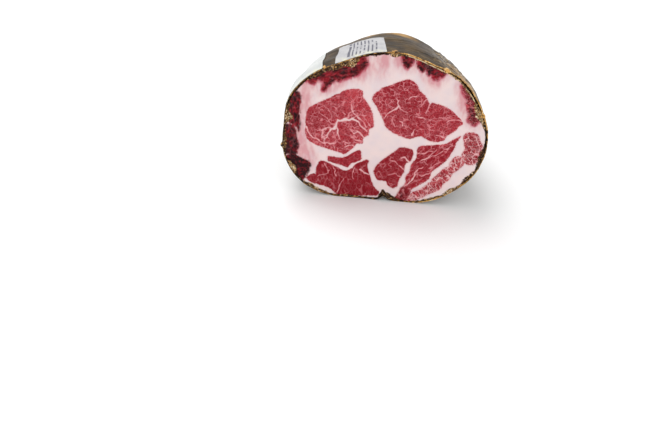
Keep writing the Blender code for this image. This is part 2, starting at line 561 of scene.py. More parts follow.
@dataclass(frozen=True)
class Roll:
    """The body that every surface follows: the cut's outline, drawn in towards the far end.

    An angle runs round the outline from +X towards +Z, and a share runs from 0 at the cut to 1 at the
    far end.
    """

    face_height: float = 0.1047
    face_centre: float = 0.050
    rim_radii: tuple[float, ...] = (
        0.0652, 0.0629, 0.0609, 0.0559, 0.0548, 0.0534, 0.0532, 0.0579, 0.0625,
        0.0637, 0.0673, 0.0656, 0.0570, 0.0503, 0.0497, 0.0555, 0.0602, 0.0646,
    )
    settle: float = 0.0009
    crease: Stretch = Stretch(273.75, 3.5, 0.0034)
    dent: Stretch = Stretch(42.0, 15.0, 0.0026)
    dent_full_share: float = 0.14
    dent_waning_share: float = 0.4
    dent_last_share: float = 0.75
    length: float = 0.120
    taper: float = 1.6
    tip_height: float = 0.038
    crown: float = 0.0015
    crown_last_share: float = 0.6
    side_drift: float = -0.010
    flat_share: float = 0.50
    shift: tuple[float, float, float] = (0.0, 0.0, 0.0)

    def rim_radius(self, angle: Array) -> Array:
        """Face centre to the outside of the wrapper, on a smooth closed curve through rim_radii.

        Args:
            angle: round the outline, in radians.

        Returns:
            Distances, shaped as the angles are.
        """
        radii = np.array(self.rim_radii)
        place = angle / TURN % 1.0 * len(radii)
        index = np.floor(place).astype(int)
        neighbours = (radii[(index + step) % len(radii)] for step in (-1, 0, 1, 2))
        return catmull_rom(*neighbours, place - index)

    def point(self, angle: Array, share: Array, inset: Array | float = 0.0) -> Array:
        """A point of the body.

        A crease runs along the underside, and a shallow dent lies behind the cut at the upper right.
        Across, the outline shrinks by sqrt(1 - share^taper) and drifts to one side. The top comes down
        to the tip by the same factor, and the underside lies flat and then rises as a quarter ellipse.

        Args:
            angle: round the outline, in radians.
            share: along the length.
            inset: how far inside the outside of the wrapper.

        Returns:
            Places, (..., 3).
        """
        dent = self.dent.at(angle) * smooth(share, 0.0, self.dent_full_share)
        dent = dent * smooth(share, self.dent_last_share, self.dent_waning_share)
        flat = inset + self.crease.at(angle) * (1.0 - share) + dent
        radius = self.rim_radius(angle) - flat
        height = np.maximum(self.face_centre + radius * np.sin(angle) - self.settle, flat)
        narrowing = np.sqrt(np.maximum(1.0 - share**self.taper, 0.0))
        rise = np.maximum((share - self.flat_share) / (1.0 - self.flat_share), 0.0)
        underside = self.tip_height * (1.0 - np.sqrt(np.maximum(1.0 - rise * rise, 0.0)))
        crown = self.crown * np.sin(math.pi * np.minimum(share / self.crown_last_share, 1.0))
        topside = self.tip_height + (self.face_height - self.tip_height) * narrowing + crown
        along = (self.length - inset) * share
        across = radius * np.cos(angle) * narrowing + self.side_drift * share
        up = underside + height * (topside - underside) / self.face_height
        return np.stack(np.broadcast_arrays(across, along, up), axis=-1) + np.array(self.shift)

    def outward(self, angle: Array, share: Array) -> Array:
        """The direction straight out of the body, from the cross product of its two tangents.

        Args:
            angle: round the outline, in radians.
            share: along the length.

        Returns:
            Unit vectors, (..., 3).
        """
        step = 0.01
        share = np.clip(share, step, 1.0 - 2.0 * step)
        round_it = self.point(angle + step, share) - self.point(angle - step, share)
        along_it = self.point(angle, share + step) - self.point(angle, share - step)
        out = np.cross(along_it, round_it)
        return out / np.linalg.norm(out, axis=-1, keepdims=True)

    def side_by_side(self, angle: Array, share: Array, hoop_mm: float, depth_mm: float) -> Array:
        """Places in which noise comes out stretched round the roll.

        Args:
            angle: round the outline, in radians.
            share: along the length.
            hoop_mm: how far round the roll one unit is.
            depth_mm: how far along it one unit is.

        Returns:
            Places for a cloud, (..., 3).
        """
        hoops = self.rim_radius(angle) / MM / hoop_mm
        depth = share * self.length / MM / depth_mm
        spots = np.broadcast_arrays(np.cos(angle) * hoops, np.sin(angle) * hoops, depth)
        return np.stack(spots, axis=-1)


class Grain(Enum):
    """How a muscle's fat threads run: (length of a mesh over its width, width of a mesh in mm)."""

    EVEN = (1.0, 3.2)
    FINE = (1.15, 2.5)
    LONG = (2.3, 2.9)
    STREAKED = (2.2, 3.4)


@dataclass(frozen=True)
class Muscle:
    """One lean muscle as the knife shows it, in millimetres on the cut face.

    Attributes:
        outline: a few points that a smooth closed curve goes through.
        deepness: 0 pale salmon, 1 deep crimson.
        dryness: 0 moist, 1 dried almost black.
        marbling: how much of its net of fat threads shows.
        grain: the kind of net.
        lie_degrees: the direction of the net's long way.
        swell_mm: how far its edge lies outside the outline.
    """

    outline: tuple[tuple[float, float], ...]
    deepness: float
    dryness: float = 0.0
    marbling: float = 0.5
    grain: Grain = Grain.EVEN
    lie_degrees: float = 0.0
    swell_mm: float = 0.0


@dataclass(frozen=True)
class Vein:
    """A thread of fat thick enough to follow by eye.

    Attributes:
        points: in millimetres on the cut face, from its thick end to its thin end.
        width: at the thick end, in millimetres.
    """

    points: tuple[tuple[float, float], ...]
    width: float = 0.6


MUSCLES = {
    "left round": Muscle(
        ((-27, 75.5), (-26, 76.8), (-22.8, 78.3), (-18, 79.2), (-13.5, 78.2), (-13.2, 75), (-11.5, 72.4),
         (-9.6, 69.5), (-7, 64), (-5.9, 57.4), (-6, 54.5), (-8.6, 52.2), (-9, 48.4), (-12.2, 45.8),
         (-12.6, 42.5), (-16.3, 41.6), (-18.2, 38.8), (-21.9, 34.8), (-24, 33.4), (-29.8, 34.8),
         (-34.4, 36), (-41, 37.7), (-47, 40.9), (-49.5, 45.8), (-49.2, 52), (-49, 57.5), (-47.6, 63),
         (-44.3, 65.9), (-39.5, 68.9), (-34.1, 71.7), (-30.3, 74.3)),
        deepness=0.44, marbling=0.75, grain=Grain.FINE, lie_degrees=60.0,
    ),
    "under left round": Muscle(
        ((-34, 30.5), (-26.3, 30.3), (-22.3, 31.6), (-17.5, 35.1), (-13.9, 36.9), (-12.9, 33.4),
         (-13.3, 29.9), (-19.1, 26.7), (-21.7, 23.7), (-26.3, 24.9), (-33.9, 26.7), (-34.7, 28.6)),
        deepness=0.6, marbling=0.25,
    ),
    "bottom left": Muscle(
        ((-39.7, 26.5), (-37.2, 26.4), (-35, 25.7), (-30, 23.5), (-24.5, 21), (-20.5, 21.6), (-15.1, 27.2),
         (-8.3, 30.3), (-8.8, 25.5), (-6.9, 19), (-5.3, 13.1), (-2.5, 8.7), (-0.2, 6.5), (-2, 3.7),
         (-7.8, 3.3), (-16.7, 2), (-27.9, 1.9), (-31.7, 5), (-36.8, 7.6), (-44.5, 8.8), (-48.2, 11.2),
         (-48.7, 13.8), (-43.8, 16.3), (-42.7, 14.9), (-42.8, 18), (-41.8, 22.8)),
        deepness=0.9, dryness=0.04, marbling=0.36, grain=Grain.LONG, lie_degrees=100.0,
    ),
    "dried lower left": Muscle(
        ((-60.5, 28.5), (-58.5, 30.5), (-53, 27.8), (-47, 25.3), (-46.2, 22.3), (-47.8, 18.7),
         (-49, 14.5), (-51, 11.8), (-54, 14), (-57.5, 18.5), (-60, 24)),
        deepness=1.0, dryness=0.9, marbling=0.08,
    ),
    "dried upper left": Muscle(
        ((-54.5, 75.5), (-52.7, 73.5), (-51.8, 71.5), (-52.6, 65), (-53, 58.5), (-52.9, 51.2),
         (-53.8, 47), (-55.4, 49.2), (-58.4, 51.6), (-61.2, 56), (-61.4, 63), (-59.6, 69)),
        deepness=0.8, dryness=0.74, marbling=0.16, grain=Grain.LONG, lie_degrees=90.0,
    ),
    "dried left": Muscle(
        ((-60.5, 51.5), (-57, 51), (-55.6, 47), (-55.3, 44), (-54.1, 37.5), (-54.6, 33.7), (-55.3, 30.5),
         (-58, 28.5), (-61.5, 31), (-63.5, 36), (-63.8, 41), (-62.5, 47)),
        deepness=0.85, dryness=0.73, marbling=0.16, grain=Grain.LONG, lie_degrees=80.0,
    ),
    "top left": Muscle(
        ((-47.9, 81.7), (-46.6, 83.6), (-40, 86.3), (-31.6, 91.9), (-24, 93.5), (-17.6, 96.6), (-14.7, 100),
         (-10.9, 97), (-12.7, 92.5), (-14.2, 90.9), (-18.3, 87.4), (-22.4, 86.1), (-28.9, 83.2),
         (-29.7, 84.3), (-31.9, 82.1), (-35, 79.8), (-35.7, 77.7), (-37.3, 76.2), (-38.6, 77.5),
         (-37.6, 81.7), (-40.4, 83.5), (-42.9, 80.9)),
        deepness=0.75, dryness=0.55, marbling=0.2, grain=Grain.LONG, lie_degrees=25.0,
    ),
    "first wedge": Muscle(
        ((8.7, 103), (14, 101.6), (16.8, 101.3), (15.8, 98.4), (14.7, 96.7), (12.9, 94.6), (11.3, 96),
         (9.6, 100)),
        deepness=0.8, dryness=0.62, marbling=0.1,
    ),
    "second wedge": Muscle(
        ((17.5, 101.4), (20.4, 100.6), (27.2, 95.9), (32.8, 94.3), (36, 93), (34, 91.2), (32.2, 90.9),
         (31.1, 88.9), (28.5, 89.6), (27.6, 91.6), (25.4, 91.7), (24.3, 94.2), (21.2, 93.8),
         (18.7, 96.8)),
        deepness=0.85, dryness=0.66, marbling=0.2, lie_degrees=-30.0,
    ),
    "upper right": Muscle(
        ((-7.1, 73.8), (-5.9, 76.5), (-2.2, 80.3), (2.9, 83), (9.7, 86.3), (14.5, 87.8), (18.7, 85.5),
         (20.9, 81.7), (25, 77.5), (28, 72.9), (29.6, 73.8), (36.8, 71.9), (42, 69), (45.6, 65.6),
         (48.8, 61.9), (46.2, 58.9), (44.9, 56.6), (40, 52), (37.8, 48.5), (32.3, 47.4), (28.5, 48.4),
         (24.6, 50.5), (20.4, 49.4), (16.1, 48.2), (11.8, 49.6), (5.4, 52.4), (1.8, 55.9), (0, 60),
         (-2.4, 65.2), (-6, 71)),
        deepness=0.52, marbling=0.7, grain=Grain.FINE, lie_degrees=-30.0,
    ),
    "bottom middle": Muscle(
        ((-3.9, 23.7), (-2.2, 27.4), (2.6, 32.8), (9.2, 38.9), (12.4, 41.5), (19, 40.8), (20.2, 37),
         (18.8, 32.5), (15.8, 29.6), (15, 23.9), (12.2, 17.3), (11.4, 13), (8.6, 10.9), (5, 12.7),
         (4, 15.7), (-1.4, 16.2), (-4, 20.5)),
        deepness=0.82, marbling=0.45, grain=Grain.EVEN, lie_degrees=60.0,
    ),
    "lower right": Muscle(
        ((22.6, 41), (25.5, 43.8), (32, 44.9), (39.5, 46.4), (44.1, 49.8), (48.4, 52.8), (46.4, 48.2),
         (44.2, 40.8), (40.3, 33.9), (35.2, 28.2), (32.6, 25.4), (31.4, 20.3), (26.2, 15.6),
         (21.5, 11.7), (18.5, 9.5), (15.4, 11.5), (16.8, 16), (16.6, 20.7), (18.5, 23.5), (19.9, 30),
         (22.6, 34.7)),
        deepness=0.6, dryness=0.02, marbling=0.6, grain=Grain.LONG, lie_degrees=51.0,
    ),
    "dark tail": Muscle(
        ((10.5, 3), (12.5, 6.5), (14.2, 10.8), (16.5, 13), (19.3, 11), (20.2, 7.5), (18.3, 3.2), (14, 1.2)),
        deepness=0.95, dryness=0.34, marbling=0.8, grain=Grain.LONG, lie_degrees=60.0, swell_mm=0.3,
    ),
    "streaked strip": Muscle(
        ((18.5, 2.6), (21.5, 7.6), (27.3, 11.3), (31.3, 15.7), (33.9, 17.6), (34.6, 20.2), (38.2, 24.6),
         (40.1, 27.6), (44.1, 30.6), (44.6, 33.4), (47.5, 37.4), (51.3, 36.9), (51.6, 33.5),
         (49.2, 29.9), (45.2, 25.6), (43.8, 21.8), (40.8, 18.4), (38.6, 13.9), (32.9, 10), (27.3, 6.1),
         (22, 2.5)),
        deepness=0.34, marbling=2.2, grain=Grain.STREAKED, lie_degrees=128.0, swell_mm=0.8,
    ),
    "right": Muscle(
        ((50.9, 53.7), (55, 55.6), (59.2, 53.6), (59.8, 51), (62.2, 47), (62.5, 42.8), (61.2, 37.4),
         (58.3, 34), (53.8, 34), (52.2, 38.2), (50.8, 40), (52.3, 44.6), (51.4, 48)),
        deepness=0.5, dryness=0.2, marbling=1.5, grain=Grain.EVEN, lie_degrees=45.0, swell_mm=0.3,
    ),
    "dried right": Muscle(
        ((45.2, 86.6), (46.8, 87.2), (49.7, 82), (52.1, 80.1), (53.9, 75.4), (55.4, 69.8), (59.4, 65),
         (57.3, 62.7), (55.6, 60.9), (51.9, 63.8), (51.6, 68.4), (49.8, 74.3), (50.2, 77),
         (46.6, 82.6)),
        deepness=0.75, dryness=0.52, marbling=0.8, grain=Grain.FINE, lie_degrees=-60.0,
    ),
}

VEINS = (
    Vein(((-29.8, 53.3), (-32, 54.8), (-36.5, 58.9), (-40, 62)), 0.8),
    Vein(((-28, 57.5), (-29.4, 52.5), (-27.7, 47.3), (-27, 44)), 1.5),
    Vein(((-28, 57.5), (-23, 58.4), (-18.7, 58.8), (-15.6, 56.8), (-9.5, 51.5)), 1.9),
    Vein(((-29.8, 52.6), (-32.5, 50.3), (-35.2, 47.6), (-36.1, 44), (-37, 40)), 1.5),
    Vein(((-49, 50.4), (-47, 47), (-43.9, 43.3), (-40.2, 41), (-36.6, 39.3)), 1.2),
    Vein(((-36.6, 40), (-30.8, 40.4), (-29.7, 36.4), (-29.6, 31.5)), 0.8),
    Vein(((-9.5, 45.4), (-13, 48), (-15.8, 49.9), (-19, 49.1), (-20, 52)), 1.1),
    Vein(((-11.5, 44.2), (-16.6, 43.8), (-19.5, 46)), 0.9),
    Vein(((-12.5, 39.6), (-16.9, 38.7), (-18.8, 40), (-23.5, 38.8)), 1.3),
    Vein(((-40.2, 41.6), (-42.5, 43.9), (-42, 46.5)), 0.7),
    Vein(((-32, 58.8), (-33, 61.6), (-35, 66)), 0.6),
    Vein(((-30.2, 40.5), (-30.6, 42.5), (-30.6, 46))),
    Vein(((-36, 45), (-39.5, 48.5), (-40, 52))),
    Vein(((-23, 58.4), (-21.5, 62), (-18, 65.5), (-17, 69))),
    Vein(((-18.7, 58.8), (-14, 62), (-10, 62.5))),
    Vein(((-14, 58.7), (-15.6, 60.3), (-18.3, 63), (-20, 65.6), (-20.4, 69)), 1.2),
    Vein(((-23.6, 61), (-25.7, 62.7), (-26.9, 64.8)), 0.7),
    Vein(((-33, 51.5), (-36.5, 50.3), (-38.5, 48.5), (-41.5, 48.5)), 1.1),
    Vein(((-38, 49), (-38.5, 45.5), (-36.8, 42.3)), 1.0),
    Vein(((-34.5, 48.5), (-36.5, 45.5), (-38.7, 43.4)), 0.9),
    Vein(((-11.8, 47.2), (-13, 48.8), (-16.2, 50.8), (-19.4, 51.7)), 0.9),
    Vein(((-9.4, 54.2), (-12, 56.4), (-14, 59.5), (-16, 61)), 0.8),
    Vein(((-7.5, 55), (-9.5, 57), (-11.5, 60.5), (-12.5, 64)), 0.7),
    Vein(((-20, 42.2), (-22.2, 41.4), (-25, 42.3)), 0.8),
    Vein(((9.7, 70.3), (9.2, 73), (7.4, 74.2)), 1.0),
    Vein(((19.6, 77.1), (17.8, 77), (15, 75)), 1.0),
    Vein(((9.7, 70.3), (6.7, 67.5), (4.3, 65.3), (2.9, 63.6), (1, 61.4)), 1.1),
    Vein(((9.7, 70.3), (11.8, 67.4), (14.4, 65.8)), 0.9),
    Vein(((12.9, 56.8), (12.6, 58.6), (10.6, 59.2)), 1.1),
    Vein(((7.4, 55.7), (6.9, 57.6), (5.6, 60)), 0.8),
    Vein(((20.2, 63.8), (23.3, 62.5), (26.2, 62.6), (29, 62.1)), 0.8),
    Vein(((48.5, 62), (43.3, 63.6), (40.3, 62.9), (38.6, 61.4)), 0.8),
    Vein(((19, 50.2), (19.7, 53.5), (20.9, 55.2)), 0.9),
    Vein(((38.5, 50.9), (36.3, 51.9), (33.6, 52)), 1.0),
    Vein(((26.5, 77), (24.4, 72.8), (22.5, 70)), 0.6),
    Vein(((28.2, 72.9), (27.4, 69.5), (25.5, 66)), 0.8),
    Vein(((15.6, 25), (12.6, 27.5), (9.4, 30.6), (5.4, 32.4)), 0.8),
    Vein(((18.6, 31.8), (16.4, 33), (14.3, 34.4), (12, 34)), 1.5),
    Vein(((14.6, 19.5), (9.5, 21.8), (4.5, 20.5)), 0.8),
    Vein(((16.6, 13.5), (20.6, 17.9), (23, 23.2), (23.9, 26.4), (27.5, 28.6)), 1.1),
    Vein(((23, 23.2), (26.7, 21.6), (30.3, 22.9), (33, 24.8)), 0.8),
    Vein(((25.5, 33.3), (27.6, 34.4), (30.2, 36.2), (32.5, 39.8), (35.2, 43)), 0.9),
    Vein(((30.2, 36.2), (34.7, 37.8), (39, 41.2), (43.6, 45.8)), 0.7),
    Vein(((31.5, 27.5), (34.5, 30.8), (37.2, 32.4)), 0.8),
    Vein(((22.8, 38.5), (27.5, 38.8), (32, 40.9)), 0.7),
    Vein(((-36.6, 25.3), (-35.1, 21.2), (-34.7, 17.5)), 0.8),
    Vein(((-32.3, 23.6), (-29.5, 19.6), (-28.6, 16)), 0.7),
    Vein(((-7.5, 19.5), (-10.4, 20), (-13.5, 22.5)), 1.3),
    Vein(((-42.5, 14.8), (-36.6, 16.7), (-33.2, 19.6)), 0.7),
    Vein(((-28.8, 2.5), (-26.1, 9.1), (-24, 14)), 0.7),
    Vein(((-17, 24), (-18.5, 19), (-17.5, 14)), 0.6),
)


# Along the rim: how wide the crust is, how golden the film's edge, how cream the casing, how pale the crust.
CRUST_WIDTHS_MM = (
    Stretch(114.5, 5.5, 4.8), Stretch(125.0, 11.0, 3.4), Stretch(137.0, 9.0, 3.0),
    Stretch(150.0, 8.0, 1.0), Stretch(163.0, 7.0, 1.6), Stretch(173.5, 4.5, 4.4), Stretch(190.0, 9.0, 1.8),
    Stretch(207.0, 4.5, 3.6), Stretch(226.0, 9.0, 2.2), Stretch(250.0, 14.0, 1.0), Stretch(273.0, 3.5, 4.6),
    Stretch(279.0, 4.5, 4.4), Stretch(303.0, 12.0, 1.2), Stretch(320.5, 5.0, 2.2), Stretch(334.0, 11.0, 1.9),
    Stretch(351.0, 9.0, 2.6), Stretch(17.0, 7.0, 3.2), Stretch(32.0, 10.0, 1.3), Stretch(55.0, 20.0, 0.6),
    Stretch(83.5, 4.0, 2.4), Stretch(94.0, 9.0, 1.3),
)
GILDED_EDGE = (
    Stretch(64.0, 28.0, 1.0), Stretch(22.0, 26.0, 0.95), Stretch(340.0, 28.0, 0.8),
    Stretch(305.0, 18.0, 0.8), Stretch(122.0, 24.0, 0.85), Stretch(155.0, 14.0, 0.5),
    Stretch(190.0, 20.0, 0.4), Stretch(232.0, 16.0, 0.5),
)
CREAM_CASING = (Stretch(58.0, 24.0, 1.0), Stretch(24.0, 14.0, 0.8), Stretch(352.0, 14.0, 0.3))
PALE_CRUST = (
    Stretch(113.5, 4.0, 0.95), Stretch(126.0, 10.0, 0.22), Stretch(173.5, 5.0, 1.0), Stretch(191.0, 7.0, 0.5),
    Stretch(207.0, 5.0, 0.95), Stretch(226.0, 9.0, 0.6), Stretch(250.0, 14.0, 0.45),
    Stretch(305.0, 9.0, 0.6), Stretch(320.5, 6.0, 0.85), Stretch(17.0, 8.0, 0.85), Stretch(55.0, 22.0, 0.8),
    Stretch(83.5, 4.0, 0.7),
)
DARK_SEAM = Stretch(278.0, 8.02, 0.12)
# Patches on the cut face: side, height and size in millimetres, then how much deeper or pinker it is there.
TONE_PATCHES_MM = (
    (-19.0, 75.0, 7.0, -0.4), (-8.5, 61.0, 6.0, -0.3), (-42.0, 56.0, 9.0, 0.3), (-12.0, 47.0, 5.0, -0.2),
    (-43.0, 41.0, 5.0, -0.15), (10.0, 83.0, 8.0, 0.15), (39.0, 61.0, 9.0, -0.15), (14.0, 68.0, 8.0, 0.2),
    (5.0, 30.0, 8.0, 0.12), (-20.0, 9.0, 12.0, 0.1), (-45.0, 13.0, 4.0, 0.2), (24.0, 34.0, 6.0, 0.15),
)
PINK_STAINS_MM = (
    (-0.5, 99.5, 1.9, 0.9), (-1.5, 96.5, 5.5, 0.95), (-12.5, 89.0, 5.0, 0.5), (-52.0, 31.0, 6.5, 0.85),
    (-52.5, 40.0, 5.0, 0.45), (-52.5, 48.0, 5.0, 0.45), (-51.0, 58.0, 5.0, 0.45), (-50.5, 67.0, 5.0, 0.5),
    (-48.5, 73.0, 6.5, 0.6), (46.5, 84.0, 5.0, 0.45), (26.0, 89.0, 5.0, 0.45), (7.8, 100.0, 2.6, 1.0),
    (-30.0, 80.5, 6.0, 0.45), (48.0, 73.0, 5.0, 0.5), (24.0, 6.0, 5.0, 0.5), (-45.5, 28.0, 6.0, 0.5),
    (31.0, 88.5, 4.0, 0.5), (-16.0, 93.0, 3.0, 0.6),
)


class MarbledMeat:
    """The finish of the cured meat: fat, lean with its net of threads, dried rim and crust."""

    fat = tint(231, 211, 209)
    fat_cool = tint(223, 206, 208)
    stained_fat = tint(205, 136, 143)
    bled_fat = tint(184, 76, 96)
    salmon = tint(182, 60, 68)
    crimson = tint(145, 24, 38)
    deep_crimson = tint(130, 12, 26)
    dried = tint(38, 8, 12)
    thread = tint(222, 140, 146)
    crust_dark = tint(38, 22, 14)
    crust_brown = tint(98, 62, 38)
    crust_gold = tint(184, 142, 84)
    crust_cream = tint(230, 208, 172)

    def dress(self) -> bpy.types.Material:
        """Lays out the material's nodes.

        Returns:
            The material.
        """
        bench = Bench("cured_meat")
        dryness, marbling = bench.read("dryness"), bench.read("marbling")
        fraying = bench.sway(3.0, 1.1) + bench.sway(1.0, 1.5)
        tearing = (bench.mist(2.2, bench.stretched((1.0, 1.0, 0.7)), 4.0) - 0.46) * dryness * 4.0
        edge = bench.read("lean_mm") + 0.2 + fraying + tearing
        soft = dryness.rise(0.1, 0.5)
        lean = edge.rise(-0.15, 0.25) * (1.0 - soft) + edge.rise(-0.9, 0.9) * soft
        threads = self.threads(bench, marbling) * lean * (1.0 - dryness * 0.5)
        vein_mm = bench.read("vein_mm") + bench.sway(1.8, 0.35)
        vein = vein_mm.rise(-0.28, 0.12) * lean
        crust = (bench.read("crust_mm") + bench.sway(1.3, 2.0) + bench.sway(5.0, 3.4)).rise(-0.2, 0.4)
        casing = (bench.read("rim_mm") + bench.sway(1.2, 0.5)).rise(0.6, 0.3)
        colour = bench.paint(
            self.fat_colour(bench, edge),
            (lean, self.flesh(bench, edge, dryness)),
            (threads, bench.blend(marbling.rise(0.8, 1.7) * 0.45, self.thread, self.fat)),
            (vein * 0.85, bench.blend(vein_mm.rise(0.0, 0.45), self.thread, self.fat)),
            (crust, self.crust_colour(bench)),
            (casing, self.casing_colour(bench)),
        )
        roughness = 0.46 - lean * 0.08 + crust * 0.25 + bench.sway(2.0, 0.12)
        height = threads * 0.35 + vein * 0.3 + bench.mist(0.8, None, 3.0) * 0.5 + crust * bench.mist(0.5)
        constants = {
            "Subsurface Weight": 0.06, "Subsurface Scale": 0.0006, "Subsurface Radius": (1.0, 0.35, 0.25),
            "IOR": 1.4, "Specular IOR Level": 0.12,
        }
        return bench.finish(colour, roughness, height, 0.2, constants)

    def threads(self, bench: Bench, marbling: Signal) -> Signal:
        """The net of fat threads: bent cell borders of two sizes, thick in places and gone in others.

        Args:
            bench: the material's bench.
            marbling: how much of the net shows.

        Returns:
            How much of a thread there is, from 0.
        """
        net = bench.warped(bench.warped(bench.read_vector("grain_mm"), 2.8, 2.0), 0.9, 0.32)
        plenty, some = bench.mist(4.2).rise(0.34, 0.68), bench.mist(2.6).rise(0.36, 0.66)
        coarse = (plenty * 0.27 - bench.cells(net, 3.4)).rise(-0.05, 0.12)
        fine = (some * 0.17 - bench.cells(net, 1.3)).rise(-0.06, 0.13)
        specks = bench.mist(0.8, net, 2.0).rise(0.52, 0.8)
        return (coarse * 0.95).over(fine * 0.42).over(specks * 0.5) * marbling

    def flesh(self, bench: Bench, edge: Signal, dryness: Signal) -> object:
        """Lean: paler at a muscle's edge, uneven from fibre bundle to fibre bundle, dark where dry.

        Args:
            bench: the material's bench.
            edge: depth inside the muscle's torn edge, in millimetres.
            dryness: how dried the muscle is.

        Returns:
            The colour's socket.
        """
        bundle = bench.warped(bench.read_vector("grain_mm"), 1.8, 1.1)
        fibres = bench.mist(1.3, bundle, 3.0) - 0.5
        uneven = bench.sway(7.0, 0.9) + (bench.cell_tone(bundle, 1.6) - 0.5) * 0.16 + fibres * 2.6
        deepness = bench.read("deepness") + 0.07 + uneven - edge.rise(2.4, 0.0) * 0.16
        drying = dryness * (1.0 + bench.sway(3.4, 2.8) + fibres * 2.4) - edge.rise(1.8, 0.0) * 0.25
        return bench.paint(
            self.salmon,
            (deepness.rise(0.0, 0.6), self.crimson),
            (deepness.rise(0.5, 1.1), self.deep_crimson),
            (drying.rise(0.0, 1.0), self.dried),
        )

    def fat_colour(self, bench: Bench, edge: Signal) -> object:
        """Fat: cream, cooler in clouds, and pink where the lean's juice has stained it.

        Args:
            bench: the material's bench.
            edge: depth inside the nearest muscle's torn edge, in millimetres.

        Returns:
            The colour's socket.
        """
        runs = bench.mist(1.0, bench.stretched((0.45, 0.3, 0.2)), 2.0).rise(0.25, 0.75)
        stain = (bench.read("stain") * (runs * 0.7 + 0.6)).rise(0.0, 1.2) * 0.8
        bleeding = (bench.read("bleeding") * (runs * 0.8 + 0.5)).rise(0.15, 0.95) * 0.9
        return bench.paint(
            self.fat,
            (bench.mist(9.0).rise(0.35, 0.7), self.fat_cool),
            (stain.over(edge.rise(-1.2, 0.0) * 0.3), self.stained_fat),
            (bleeding, self.bled_fat),
        )

    def crust_colour(self, bench: Bench) -> object:
        """Crust: grains of brown, gold and cream, with dark between them.

        Args:
            bench: the material's bench.

        Returns:
            The colour's socket.
        """
        tone = bench.cell_tone(bench.warped(bench.place_mm, 1.0, 0.9), 0.7)
        pale = tone + bench.read("pale_crust") - 0.62 + bench.sway(2.4, 1.3)
        return bench.paint(
            self.crust_dark,
            (pale.rise(-0.1, 0.45), self.crust_brown),
            (pale.rise(0.4, 0.75), self.crust_gold),
            (pale.rise(0.75, 1.05), self.crust_cream),
        )

    def casing_colour(self, bench: Bench) -> object:
        """The meat's own thin casing, which shows as a line at the rim and over the sides."""
        cream = bench.read("gilded") + bench.sway(1.6, 1.2)
        return bench.blend(cream.rise(0.35, 0.75), self.crust_dark, self.crust_cream)


